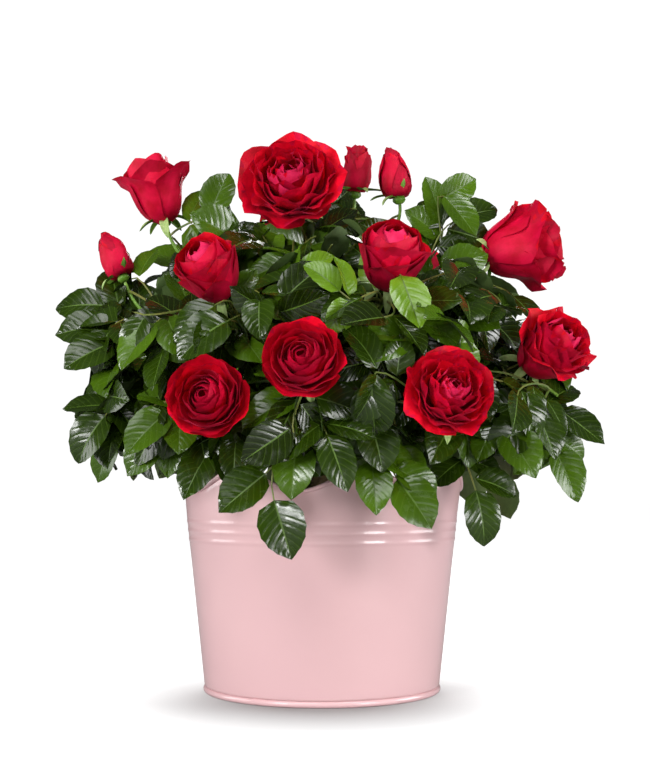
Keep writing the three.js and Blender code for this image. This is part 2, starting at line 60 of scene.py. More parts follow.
# A leaflet's size, its rows of points, the angles by which its halves are folded up and it curls down, each
# with its variation, and its teeth's depth. Then a leaf: how far before its end its pairs of leaflets sit,
# their spread, their share of the end leaflet's size, the share of leaves with a single pair, the least,
# best and greatest reach from the twig, and how far the end leaflet follows its stalk.
LEAF = dict(length=31.0, width=21.5, rows=12, fold=(15, 9), curl=(30, 22), tooth=0.022,
            pairs=(8.0, 20.5), spread=66.0, shares=(0.9, 0.74), single=0.35,
            least=12.0, best=40.0, most=82.0, follow=0.55)
ACROSS = np.array([-1.0, -0.52, -0.04, 0.04, 0.52, 1.0, 0.0])  # a leaflet's columns, the last underneath
KEEP_OFF = dict(rim=4.0, wall=4.5, bloom=7.0, stalk=9.0)  # how far leaflets stay from these

# The crown's outline is (reach, height) pairs from its skirt to its top, and the sky is where its upper
# corners start, as (x, height) at the right and the left. Each of its two shells of leaves has a count, the
# layers that its leaves take in turn, as shares of the way out, and its first leaf's number.
CROWN = dict(outline=((122, 122), (136, 146), (140, 180), (137, 208),
                      (124, 232), (98, 252), (58, 270), (0, 278)),
             depth=0.88, heart=150.0, lean=0.55, lowest=119.0, sky=((50, 242), (-75, 248)),
             outer=dict(leaves=450, layers=(1.0, 0.84, 0.95, 0.7), first=100),
             inner=dict(leaves=90, layers=(0.5, 0.38), first=1000))
BACK_FROM = dict(leaves=15, blooms=25)  # leaves and blooms further back than this are the back's
FRONT_SEAT = np.array([0.0, -800.0, 120.0])  # where one sits in front of the bush

# Each mass: where its cane ends, its shoots as (tip, bloom kind, diameter, face), and the tips of the
# furthest of its leaves, some with the heading and elevation that the tip points to. A shoot that is a tip
# alone ends in a leaf whose tip is there. A face is (heading, elevation).
MASSES = {
    "front_low": ((-5, 60, 144), [((-4, 128, 179), "cup", 41, (-8, 20))],
                  [(-7, 119, 81, 70, -58), (-25, 122, 104, -75, -32), (6, 128, 116, 60, -66),
                   (-7, 126, 115)]),
    "front_left_low": ((-31, 62, 142), [((-27, 126, 161), "cup", 41, (-14, 12))],
                       [(-36, 121, 112), (-44, 144, 137), (-52, 132, 124)]),
    "front_right_low": ((27, 60, 142), [((31, 126, 164), "open", 48, (14, 24))],
                        [(28, 120, 97, 75, -42), (14, 114, 104)]),
    "left_low": ((-66, 62, 142), [((-76, 140, 152),)],
                 [(-66, 149, 132), (-86, 134, 118), (-98, 144, 136)]),
    "right_low": ((60, 64, 142), [((74, 162, 140),)],
                  [(70, 149, 108), (47, 121, 86), (56, 138, 124)]),
    "right": ((76, 62, 165), [((71, 136, 194), "flared", 42, (38, 28)), ((96, 140, 190),)],
              [(83, 140, 166)]),
    "left": ((-78, 58, 178), [((-83, 121, 249), "bud", 25, (-95, 66)), ((-79, 154, 204),)],
             [(-83, 156, 222), (-67, 152, 184), (-98, 148, 196)]),
    "front_left": ((-38, 50, 185), [((-37, 100, 231), "half", 36, (-28, 42))],
                   [(-55, 130, 216), (-30, 124, 200)]),
    "front_right": ((20, 46, 188), [((25, 88, 239), "half", 38, (12, 50))],
                    [(36, 118, 215), (3, 108, 224)]),
    "right_top": ((72, 50, 198), [((92, 123, 257), "flared", 51, (97, 12)), ((66, 126, 228),)],
                  [(51, 119, 206), (75, 98, 252), (108, 128, 230)]),
    "left_top": ((-92, 42, 210), [((-87, 98, 291), "goblet", 38, (-70, 72)), ((-106, 112, 262),)],
                 [(-112, 82, 294), (-70, 104, 256)]),
    "top_right": ((62, 38, 212), [((90, 64, 300, -60, 62),)],
                  [(90, 106, 284, 88, 14), (80, 92, 262, 100, -75)]),
    "top": ((-30, 22, 220), [((-27, 39, 288), "open", 60, (-6, 28))],
            [(-60, 84, 268), (8, 84, 258)]),
    "top_buds": ((112, 24, 222),
                 [((133, 29, 307), "waking", 26, (20, 76)), ((97, 43, 301), "bud", 27, (-80, 80))],
                 [(150, 24, 324, 60, 65)]),
    "back_low": ((175, 60, 142), [((176, 126, 172), "open", 44, (178, 16))],
                 [(161, 126, 100), (-166, 128, 108), (179, 119, 88)]),
    "back_right_low": ((122, 62, 142), [((127, 126, 184), "half", 40, (130, 34))],
                       [(106, 146, 134), (132, 134, 104), (114, 130, 96)]),
    "back_left_low": ((-126, 62, 142), [((-140, 124, 178), "cup", 42, (-144, 22))],
                      [(-112, 146, 140), (-146, 128, 104), (-126, 128, 124)]),
    "back_right": ((136, 48, 188), [((138, 96, 246), "cup", 46, (140, 34))],
                   [(118, 132, 222), (158, 126, 216)]),
    "back_left": ((-140, 48, 188), [((-132, 98, 248), "half", 38, (-136, 46))],
                  [(-116, 132, 218), (-160, 124, 222)]),
    "back_top": ((178, 34, 216), [((-167, 66, 287), "open", 48, (-172, 38))],
                 [(-150, 88, 270), (146, 88, 268)]),
}

# Each kind of hip: its (radius, height) pairs in diameters of its bloom, and the angle from the bloom's
# axis at which its sepals stand.
HIP = dict(
    open=((0, -0.40), (0.06, -0.39), (0.09, -0.35), (0.07, -0.28), (0, -0.27)),
    half=((0, -0.66), (0.06, -0.65), (0.10, -0.60), (0.08, -0.52), (0, -0.51)),
    bud=((0, -0.72), (0.09, -0.70), (0.15, -0.63), (0.12, -0.53), (0, -0.51)),
)
SEPAL_ANGLE = dict(open=112, half=92, bud=70)
# Each kind of bloom, in diameters times its scale: the (radius, height) where its petals start, and how far
# their lips fall off towards their sides at the heart and at the outside. Then, for five petals from the
# heart to the outside, their lips' radius and height, the angles from the bloom's axis at which they start
# and end, their half width, and how far their side edges roll back and their lips wave.
BLOOMS = dict(
    open=dict(hip="open", petals=36, scale=1.08, base=(0.07, -0.30), fall=(0.18, 0.36),
              radius=(0.02, 0.12, 0.25, 0.38, 0.50), height=(0.16, 0.20, 0.18, 0.10, -0.04),
              start=(8, 30, 52, 70, 80), end=(-40, -14, 4, 28, 74),
              width=(0.12, 0.20, 0.29, 0.36, 0.42), roll=(0.0, 0.02, 0.05, 0.09, 0.14),
              wave=(0.010, 0.020, 0.028, 0.034, 0.036)),
    cup=dict(hip="open", petals=32, scale=1.12, base=(0.07, -0.30), fall=(0.18, 0.34),
             radius=(0.02, 0.12, 0.24, 0.37, 0.48), height=(0.14, 0.19, 0.19, 0.13, 0.02),
             start=(8, 32, 54, 70, 80), end=(-46, -26, -10, 14, 50),
             width=(0.12, 0.23, 0.33, 0.41, 0.46), roll=(0.0, 0.0, 0.02, 0.04, 0.08),
             wave=(0.004, 0.008, 0.014, 0.018, 0.022)),
    half=dict(hip="half", petals=16, scale=1.05, base=(0.08, -0.52), fall=(0.12, 0.16),
              radius=(0.03, 0.11, 0.22, 0.33, 0.44), height=(0.35, 0.37, 0.34, 0.28, 0.16),
              start=(8, 40, 62, 72, 76), end=(-52, -40, -24, -2, 40),
              width=(0.15, 0.33, 0.48, 0.60, 0.68), roll=(0.0, 0.0, 0.01, 0.04, 0.10),
              wave=(0.004, 0.008, 0.014, 0.018, 0.022)),
    flared=dict(hip="half", petals=24, scale=1.14, base=(0.08, -0.50), fall=(0.18, 0.36),
                radius=(0.02, 0.12, 0.24, 0.37, 0.49), height=(0.24, 0.29, 0.27, 0.18, 0.02),
                start=(8, 36, 56, 68, 74), end=(-45, -22, 0, 34, 84),
                width=(0.13, 0.24, 0.34, 0.42, 0.46), roll=(0.0, 0.02, 0.05, 0.10, 0.16),
                wave=(0.008, 0.018, 0.030, 0.042, 0.050)),
    goblet=dict(hip="half", petals=14, scale=1.16, base=(0.08, -0.52), fall=(0.16, 0.30),
                radius=(0.03, 0.12, 0.20, 0.34, 0.54), height=(0.30, 0.35, 0.34, 0.28, 0.16),
                start=(8, 40, 58, 64, 66), end=(-30, -24, -10, 20, 88),
                width=(0.14, 0.30, 0.42, 0.46, 0.44), roll=(0.0, 0.0, 0.02, 0.07, 0.17),
                wave=(0.002, 0.006, 0.012, 0.022, 0.024)),
    bud=dict(hip="bud", petals=10, scale=1.0, base=(0.11, -0.54), fall=(0.16, 0.24),
             radius=(0.02, 0.04, 0.06, 0.09, 0.12), height=(0.50, 0.53, 0.51, 0.47, 0.41),
             start=(8, 60, 84, 94, 100), end=(-12, -22, -28, -26, 4),
             width=(0.12, 0.34, 0.52, 0.64, 0.70), roll=(0.0, 0.0, 0.01, 0.02, 0.05),
             wave=(0.0, 0.004, 0.008, 0.012, 0.018)),
    waking=dict(hip="bud", petals=14, scale=1.0, base=(0.11, -0.54), fall=(0.16, 0.24),
                radius=(0.03, 0.08, 0.14, 0.20, 0.26), height=(0.44, 0.48, 0.47, 0.44, 0.36),
                start=(8, 56, 76, 86, 94), end=(-12, -12, -10, 6, 46),
                width=(0.12, 0.30, 0.44, 0.54, 0.60), roll=(0.0, 0.0, 0.02, 0.05, 0.10),
                wave=(0.004, 0.012, 0.020, 0.026, 0.030)),
)
DARK_BLOOMS = ("cup", "bud", "waking")  # mostly crimson petals, with no pink heart
BACK_RED, BACK_PINK = 2, 4  # places in the list of petal materials
PETAL = dict(rows=9, columns=13, thickness=0.42)
SEPAL = dict(length=17.0, width=5.2, fold=0.35)
# Metres: the floor's half side, and how its glow grows with distance from a spot just before the pot's foot,
# which paints a soft shadow round the foot.
FLOOR = dict(half=6.0, foot=(0.0, -0.038, 0.0), near=0.036, far=0.118, glow=0.92)
# The camera's focal length and its picture's height are in the picture's pixels.
CAMERA = dict(place=(0.00174, -0.800, 0.120), tilt=4.13, sensor=36.0, focal=1379, high=759)

# ---------------------------------------------------------------- numbers and directions


def chance(a, b, c):
    """A repeatable number from 0 to 1: the fraction of a large sine of a weighted sum of three numbers."""
    s = np.sin(a * 12.9898 + b * 78.233 + c * 37.719) * 43758.5453
    return s - np.floor(s)


def jitter(a, b, c):
    """The same, from -1 to 1."""
    return 2 * chance(a, b, c) - 1


def unit(v):
    """Vectors cut or stretched to length one."""
    return v / np.maximum(np.linalg.norm(v, axis=-1, keepdims=True), 1e-9)


def dot(a, b):
    """The dot product over the last axis, kept as an axis."""
    return (a * b).sum(axis=-1, keepdims=True)


def square_to(v, axis):
    """The unit part of v that is square to a unit axis: v less its share along the axis."""
    return unit(v - dot(v, axis) * axis)


def turned(v, axis, degrees):
    """v turned about a unit axis: v cos a + (axis x v) sin a + axis (axis . v)(1 - cos a)."""
    a = np.radians(degrees)
    return v * np.cos(a) + np.cross(axis, v) * np.sin(a) + axis * dot(axis, v) * (1 - np.cos(a))


def square_pair(axis):
    """Two unit vectors that are square to a unit axis and to each other."""
    start = np.array([0.31, 0.2, 1.0]) if abs(axis[2]) < 0.9 else np.array([1.0, 0.0, 0.0])
    across = square_to(start, axis)
    return across, np.cross(axis, across)


def along_and_beside(offsets, ways):
    """How far offsets reach along unit ways, and how far beside them."""
    along = (offsets * ways).sum(axis=1)
    return along, np.linalg.norm(offsets - along[:, None] * ways, axis=1)


def angles_round(count):
    """Angles evenly spaced round a full turn."""
    return np.linspace(0, 2 * np.pi, count, endpoint=False)


def place(heading, reach, height):
    """The point at a heading, a reach from the axis and a height."""
    a = np.radians(heading)
    return np.array([reach * np.sin(a), -reach * np.cos(a), height])


def direction(heading, elevation):
    """The unit vector at a heading, raised by an elevation."""
    e = np.radians(elevation)
    return place(heading, np.cos(e), np.sin(e))


def outward(point):
    """The level direction away from the pot's axis."""
    flat = point * np.array([1.0, 1.0, 0.0])
    return unit(flat) if np.linalg.norm(flat) > 1 else np.array([0.0, -1.0, 0.0])


def linear(hex_colour):
    """An sRGB hex colour as linear RGBA: c/12.92 up to 0.04045, and ((c + 0.055)/1.055)^2.4 above."""
    c = np.array([int(hex_colour[i:i + 2], 16) / 255 for i in (1, 3, 5)])
    rgb = np.where(c <= 0.04045, c / 12.92, ((c + 0.055) / 1.055) ** 2.4)
    return (*rgb.tolist(), 1.0)


# ---------------------------------------------------------------- curves


def cubic_weights(t):
    """The shares of a cubic curve's four corners: (1-t)^3, 3(1-t)^2 t, 3(1-t) t^2 and t^3."""
    return np.stack([(1 - t) ** 3, 3 * (1 - t) ** 2 * t, 3 * (1 - t) * t ** 2, t ** 3], axis=-1)


def fine_points(corners, count):
    """Points at even steps of t along a cubic curve: its corners weighted by their shares."""
    return cubic_weights(np.linspace(0, 1, count)) @ corners


def bend(start, start_way, end, end_way, fullness=0.36):
    """The four corners of a curve that leaves start one way and arrives at end another."""
    reach = np.linalg.norm(end - start) * fullness
    return np.stack([start, start + start_way * reach, end - end_way * reach, end])


def spaced(corners, count):
    """Points evenly spaced along a curve: its length is summed over fine steps and read back evenly."""
    fine = fine_points(corners, 120)
    length = np.concatenate([[0], np.cumsum(np.linalg.norm(np.diff(fine, axis=0), axis=1))])
    even = np.linspace(0, length[-1], count)
    return np.stack([np.interp(even, length, fine[:, k]) for k in range(3)], axis=1)


def curve_length(corners):
    """The length of a curve, summed over fine steps."""
    return np.linalg.norm(np.diff(fine_points(corners, 60), axis=0), axis=1).sum()


# ---------------------------------------------------------------- faces and meshes


def grid_faces(rows, columns, around=False):
    """Four-cornered faces between neighbours of a grid of points, the last column joined to the first
    where it runs around."""
    i = np.arange(rows - 1)[:, None]
    j = np.arange(columns if around else columns - 1)[None, :]
    beside = (j + 1) % columns
    corners = [i * columns + j, i * columns + beside, (i + 1) * columns + beside, (i + 1) * columns + j]
    return np.stack(corners, axis=-1).reshape(-1, 4)


def poled_faces(rings, around):
    """Faces of a closed skin: a pole, rings of points and another pole. Three-cornered ones end in -1."""
    j = np.arange(around)
    beside = (j + 1) % around
    last = 1 + (rings - 1) * around
    none = np.full(around, -1)
    first_cap = np.stack([np.zeros(around, int), 1 + beside, 1 + j, none], axis=1)
    last_cap = np.stack([np.full(around, 1 + rings * around), last + j, last + beside, none], axis=1)
    return np.concatenate([grid_faces(rings, around, True) + 1, first_cap, last_cap])


def dealt(shapes, faces, face_slots):
    """One set of faces dealt to each of many shapes of the same number of points. Gives one patch."""
    count, points = shapes.shape[:2]
    shift = (np.arange(count) * points)[:, None, None]
    all_faces = np.where(faces[None] < 0, -1, faces[None] + shift).reshape(-1, 4)
    slots = np.broadcast_to(face_slots, (count, len(faces))).reshape(-1)
    return shapes.reshape(-1, 3), all_faces, slots


def closed_patch(shapes, faces, face_slots=(0,)):
    """Closed shapes dealt their faces, as a patch whose faces point outwards: their corners' order is
    reversed where the volume, a sum of corner triple products, is below zero."""
    points, faces, slots = dealt(shapes, faces, face_slots)
    centre = points.mean(axis=0)
    a, b, c = (points[faces[:, k]] - centre for k in range(3))
    volume = (np.cross(a, b) * c).sum()
    quads = faces[:, 3] >= 0
    d = points[faces[quads, 3]] - centre
    volume += (np.cross(a[quads], c[quads]) * d).sum()
    if volume < 0:
        faces = np.where(quads[:, None], faces[:, ::-1], faces[:, [2, 1, 0, 3]])
    return points, faces, slots


def ringed_patch(first, rings, last):
    """The closed patch of one shape: a pole, rings of points (rows, around, 3) and another pole."""
    shape = np.concatenate([[first], rings.reshape(-1, 3), [last]])[None]
    return closed_patch(shape, poled_faces(*rings.shape[:2]))


def joined(patches):
    """Several patches as one."""
    starts = np.cumsum([0] + [len(points) for points, _, _ in patches[:-1]])
    faces = [np.where(f < 0, -1, f + start) for (_, f, _), start in zip(patches, starts)]
    return (np.concatenate([p for p, _, _ in patches]), np.concatenate(faces),
            np.concatenate([s for _, _, s in patches]))


def add_object(name, data):
    """Puts a mesh, light or camera into the scene as an object of the same name."""
    made = bpy.data.objects.new(name, data)
    bpy.context.scene.collection.objects.link(made)
    return made


def add_piece(name, patch, materials, replaced, sharp=50.0, uv=None):
    """Makes one object of the scene from a patch of points in mm, faces and the faces' material numbers."""
    points, faces, slots = patch
    mesh = bpy.data.meshes.new(name)
    real = faces >= 0
    corners = faces[real]
    totals = real.sum(axis=1)
    mesh.vertices.add(len(points))
    mesh.vertices.foreach_set("co", (points * MM).astype(np.float32).ravel())
    mesh.loops.add(len(corners))
    mesh.loops.foreach_set("vertex_index", corners.astype(np.int32))
    mesh.polygons.add(len(faces))
    mesh.polygons.foreach_set("loop_start", (np.cumsum(totals) - totals).astype(np.int32))
    mesh.polygons.foreach_set("material_index", slots.astype(np.int32))
    if uv is not None:
        layer = mesh.uv_layers.new(name="blade")
        layer.uv.foreach_set("vector", uv[corners].astype(np.float32).ravel())
    mesh.update(calc_edges=True)
    mesh.validate()
    mesh.shade_smooth()
    mesh.set_sharp_from_angle(angle=np.radians(sharp))
    for material in materials:
        mesh.materials.append(material)
    piece = add_object(name, mesh)
    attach(piece, "root")
    if replaced:
        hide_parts(*replaced)


def tubes(paths, radii, around, relief=1.0):
    """Round limbs along (n, k, 3) paths: at each station a ring of radius r about the path, square to it,
    centre + r (across cos a + side sin a), closed by a pole at each end. relief multiplies the radius."""
    ways = unit(np.gradient(paths, axis=1))
    chord = unit(paths[:, -1] - paths[:, 0])[:, None]
    seed = np.where(np.abs(chord[..., 2:]) > 0.8, np.array([1.0, 0.2, 0.0]), UP)
    across = square_to(np.broadcast_to(seed, paths.shape), ways)
    side = np.cross(ways, across)
    a = angles_round(around)
    r = np.broadcast_to(radii[..., None], (*paths.shape[:2], around)) * relief
    ring = (paths[:, :, None] + r[..., None] * (across[:, :, None] * np.cos(a)[:, None]
            + side[:, :, None] * np.sin(a)[:, None]))
    tip = radii[:, -1, None] * 0.5
    ends = [paths[:, 0] - ways[:, 0] * 0.2, paths[:, -1] + ways[:, -1] * tip]
    return np.concatenate([ends[0][:, None], ring.reshape(len(paths), -1, 3), ends[1][:, None]], axis=1)


def limb_patch(curves, facts, roots, slots=(0,), swelling=1.0, relief=1.0):
    """Round limbs along curves: their radii run evenly from root to tip, times the swelling."""
    share = np.linspace(0, 1, facts["stations"])
    radii = (roots + (facts["tip"] - roots) * share) * swelling
    paths = np.array([spaced(curve, facts["stations"]) for curve in curves])
    shapes = tubes(paths, radii, facts["sides"], relief)
    return closed_patch(shapes, poled_faces(facts["stations"], facts["sides"]), slots)


def lathed(outline, around, middle=(0, 0, 0), axis=UP, swell=1.0):
    """A turned skin: each (radius, height) pair carried round the axis, its radius times the swell."""
    a = angles_round(around)
    r = np.repeat(outline[:, :1], around, axis=1) * swell
    across, side = square_pair(axis)
    return (np.asarray(middle) + outline[:, 1, None, None] * axis + (r * np.cos(a))[..., None] * across
            + (r * np.sin(a))[..., None] * side)


# ---------------------------------------------------------------- the crown's shape

HEART = np.array([0.0, 0.0, CROWN["heart"]])


def crown_reach(height):
    """The crown's reach at a height, read off its outline."""
    outline = np.array(CROWN["outline"], dtype=float)
    return np.interp(height, outline[:, 1], outline[:, 0])


def crown_place(i, count, layers):
    """Place i of a count spread over the crown by the golden angle, from its skirt to its top, in turn on
    the layers, which are shares of the way from its heart to its surface."""
    outline = CROWN["outline"]
    height = outline[0][1] + (outline[-1][1] - outline[0][1]) * (i + 0.5) / count
    heading = i * GOLDEN_ANGLE
    narrow = CROWN["depth"] + (1 - CROWN["depth"]) * np.sin(np.radians(heading)) ** 2
    surface = place(heading, crown_reach(height) * narrow, height)
    return HEART + (surface - HEART) * layers[i % len(layers)]


def in_the_sky(point):
    """Whether a place is at one of the crown's two upper corners, where only the named leaves stand."""
    (right, right_height), (left, left_height) = CROWN["sky"]
    at_right = point[0] > right and point[2] > right_height
    at_left = point[0] < left and point[2] > left_height
    return bool(at_right or at_left)


def stand_out_way(tip):
    """The way a leaf's tip points where it stands out of the crown: it hangs low down and rises above."""
    droop = np.radians(np.clip(75 - 0.55 * (tip[2] - 85), -35, 75))
    return outward(tip) * np.cos(droop) - UP * np.sin(droop)


def tip_way(tip):
    """The way a named leaf's tip points: as it is given, or as leaves stand out there."""
    return direction(*tip[3:]) if len(tip) > 3 else stand_out_way(place(*tip))


def lean_of(point):
    """The way that leaves' faces lean: to the front in the crown's front half, to the back behind, and
    hardly either way at the top behind."""
    return np.array([0.0, -1.0 if point[1] < 20 else np.clip((240 - point[2]) / 25, -0.4, 1.0), 0.0])


def pot_reach(height):
    """The pot wall's outer radius at a height."""
    return POT["base"] + (POT["rim"] - POT["base"]) * height / POT["height"]


# ---------------------------------------------------------------- canes, shoots and blooms


def shoot_end(tip, kind, diameter, face):
    """Where a shoot's twig ends and the way it points there: under its hip, or where its leaf starts."""
    point = place(*tip[:3])
    if kind:
        way = direction(*face)
        foot = HIP[BLOOMS[kind]["hip"]][0][1] * diameter
        return point + way * foot, unit(way + 0.5 * UP)
    way = tip_way(tip)
    return point - way * (LEAF["length"] + 6), way


limbs = []  # the canes' curve corners
twigs = []  # (curve corners, root radius, carries a bloom)
blooms = []  # (kind, middle, face, diameter)
nodes = {name: [] for name in MASSES}  # where leaves may start

for name, (fork, shoots, leaf_tips) in MASSES.items():
    fork_point = place(*fork)
    way = unit(unit(place(*shoots[0][0][:3]) - fork_point) + 0.45 * UP)
    stem_middle = STEM["middle"] * UP
    cane_way = unit(fork_point - stem_middle)
    limbs.append(bend(stem_middle + cane_way * (STEM["radius"] - 1.5), cane_way, fork_point, way, 0.3))
    main = None
    for s, (tip, *bloom) in enumerate(shoots):
        kind, diameter, face = bloom or (None, 0, None)
        end, end_way = shoot_end(tip, kind, diameter, face)
        if main is None:
            root, root_way = fork_point - way * 1.5, way
        else:
            root = spaced(main, 101)[10 + 10 * s]
            root_way = unit(unit(place(*tip[:3]) - root) + 0.6 * UP)
        curve = bend(root, root_way, end, end_way)
        main = curve if main is None else main
        twigs.append((curve, SHOOT["branch"] if s else SHOOT["root"], bool(kind)))
        if kind:
            blooms.append((kind, place(*tip), direction(*face), float(diameter)))
        steps = max(4, int(curve_length(curve) / SHOOT["node_spacing"]))
        nodes[name].extend(spaced(curve, steps)[1:-1])
    nodes[name] = np.array(nodes[name])

mass_names = list(MASSES)
mass_middles = np.array([
    np.mean([place(*p[:3]) for p in [fork, *(shoot[0] for shoot in shoots), *leaf_tips]], axis=0)
    for fork, shoots, leaf_tips in MASSES.values()
])


def owner_of(point):
    """The mass whose middle is nearest."""
    return mass_names[int(np.argmin(np.linalg.norm(mass_middles - point, axis=1)))]


bloom_middles, bloom_faces, bloom_sizes = (np.array([bloom[k] for bloom in blooms]) for k in (1, 2, 3))


def hides_bloom(point, margin):
    """Whether a leaf at a point would be in a bloom, before its open side, or before it from the front."""
    offsets = point - bloom_middles
    ahead, beside = along_and_beside(offsets, bloom_faces)
    nearer, off_sight = along_and_beside(offsets, unit(FRONT_SEAT - bloom_middles))
    near = 0.5 * bloom_sizes + margin
    within = (ahead > -0.3 * bloom_sizes) & (beside < near)
    in_front = (nearer > 0) & (off_sight < near) & (bloom_middles[:, 1] < BACK_FROM["blooms"])
    return bool((within | in_front).any())


# Four spots on the top fifth of each front bloom's stalk.
stalk_spots = np.array([spaced(curve, 30)[[29, 27, 25, 23]] for curve, _, carries in twigs if carries])
stalk_spots = stalk_spots[stalk_spots[:, 0, 1] < 0].reshape(-1, 3)


def hides_stalk(point):
    """Whether a leaf at a point would be right before the top of a front bloom's stalk."""
    nearer, beside = along_and_beside(point - stalk_spots, unit(FRONT_SEAT - stalk_spots))
    return bool(((nearer > -2) & (beside < KEEP_OFF["stalk"])).any())


# ---------------------------------------------------------------- leaves

leaflets = dict(hinge=[], way=[], normal=[], size=[], seed=[], kind=[])
stalks = []  # (curve corners, root radius)
DEEP, MID, MIDRIB, UNDERSIDE = 1, 2, 4, 5  # places in the list of leaf materials
GREENS = (0.34, 0.73, 0.94)  # running shares of the dark, deep and mid greens; the rest are young


def add_leaflet(hinge, way, normal, size, seed, kind, lowest):
    """Keeps one leaflet for the mesh, unless it would be in a bloom, before one, in the pot or too low."""
    middle = hinge + way * size * LEAF["length"] * 0.55
    tip = hinge + way * size * LEAF["length"]
    for point in (middle, tip):
        reach = np.hypot(point[0], point[1])
        if point[2] < POT["height"] + KEEP_OFF["rim"] and reach < pot_reach(point[2]) + KEEP_OFF["wall"]:
            return False
    if hides_bloom(middle, KEEP_OFF["bloom"] * size) or hides_stalk(middle) or tip[2] < lowest:
        return False
    for key, value in zip(leaflets, (hinge, way, normal, size, seed, kind)):
        leaflets[key].append(value)
    return True


def grow_leaf(mass, tip, way, face, size, seed, kind, hangs):
    """A compound leaf whose end leaflet's tip is at a place: one or two pairs of leaflets and one at the
    end, on a stalk from the twig node of its mass that costs least in reach and in bending back."""
    roots = nodes[mass]
    towards = unit(tip - roots)
    blade_ways = unit(way + LEAF["follow"] * towards)
    hinges = tip - blade_ways * size * LEAF["length"]
    reach = np.linalg.norm(hinges - roots, axis=1)
    forward = (unit(hinges - roots) * blade_ways).sum(axis=1)
    in_reach = (reach >= LEAF["least"]) & (reach <= LEAF["most"])
    if not in_reach.any():
        return
    cost = np.abs(reach - LEAF["best"]) + 60 * np.maximum(0, 0.35 - forward)
    best = int(np.argmin(np.where(in_reach, cost, np.inf)))
    root, hinge, blade_way = roots[best], hinges[best], blade_ways[best]
    normal = square_to(face, blade_way)
    twig_way = unit(unit(hinge - root) + 0.5 * UP + 0.3 * outward(hinge))
    curve = bend(root, twig_way, hinge, blade_way, 0.34)
    line = spaced(curve, 60)
    last = len(line) - 1
    step = np.linalg.norm(np.diff(line, axis=0), axis=1).sum() / last
    skirt = CROWN["lowest"]
    grown = add_leaflet(hinge, blade_way, normal, size, seed, kind, 0.0 if hangs else skirt)
    pairs = 1 if chance(seed, 9, 4) < LEAF["single"] else 2
    for p, (back, share) in enumerate(zip(LEAF["pairs"][:pairs], LEAF["shares"])):
        at = last - int(round(back * size / step))
        if at < 0.2 * last:  # no pair that near the twig
            break
        along = unit(line[min(at + 2, last)] - line[at - 2])
        up = square_to(normal, along)
        for s, turn in enumerate((LEAF["spread"], -LEAF["spread"])):
            spread = turn * (1 + 0.12 * jitter(seed, p, s))
            side_way = unit(turned(along, up, spread) - 0.1 * UP)
            side_normal = square_to(up + 0.25 * jitter(seed, p, s + 3) * along, side_way)
            start = line[at] + side_way * 1.6
            part = share * size * (1 + 0.07 * jitter(seed, p, s + 6))
            side_seed = seed + 0.37 * (2 * p + s + 1)
            lowest = skirt - 6 * hangs
            grown = add_leaflet(start, side_way, side_normal, part, side_seed, kind, lowest) or grown
    if grown:
        stalks.append((curve, STALK["root"] + 0.25 * max(0.0, reach[best] - STALK["longest"]) / 20))


def leaf_kind(seed):
    """Which green a leaf has: most are dark or deep, and few are young."""
    return int(np.searchsorted(GREENS, chance(seed, 3.1, 7.7)))


seed = 0
for name, (fork, shoots, leaf_tips) in MASSES.items():
    for tip in [shoot[0] for shoot in shoots if len(shoot) == 1] + leaf_tips:
        seed += 1
        point = place(*tip[:3])
        face = 1.3 * lean_of(point) + 0.6 * UP + 0.4 * outward(point)
        deep_share = 0.1 if name in ("top_right", "right_top") else 0.6
        kind = DEEP if chance(seed, 2, 3) < deep_share else MID
        grow_leaf(name, point, tip_way(tip), face, 1.0, seed, kind, True)

for shell in (CROWN["outer"], CROWN["inner"]):
    for i in range(shell["leaves"]):
        middle = crown_place(i, shell["leaves"], shell["layers"])
        if hides_bloom(middle, 2.0) or in_the_sky(middle):
            continue
        out = unit(middle - HEART)
        down = square_to(outward(middle) - 2 * UP, out)
        # At the skirt leaves hang, and further up they swing to any side, some lifted and some pressed in.
        swing = 70 + 75 * np.clip((middle[2] - 140) / 80, 0, 1)
        way = turned(down, out, swing * jitter(i, 1, 2))
        way = unit(way + (0.15 + 0.45 * jitter(i, 6, 2)) * out)
        # Their faces look outwards and up, and lean the more the higher they are.
        lean = CROWN["lean"] * (1 + 1.3 * np.clip((middle[2] - 190) / 70, 0, 1))
        face = out + (0.45 + 0.3 * jitter(i, 3, 4)) * UP + lean * lean_of(middle)
        face = face + 0.45 * jitter(i, 8, 9) * np.cross(out, way)
        size = 0.9 + 0.2 * jitter(i, 5, 6)
        tip = middle + way * 0.4 * LEAF["length"]
        seed = shell["first"] + i
        grow_leaf(owner_of(middle), tip, way, face, size, seed, leaf_kind(seed), False)


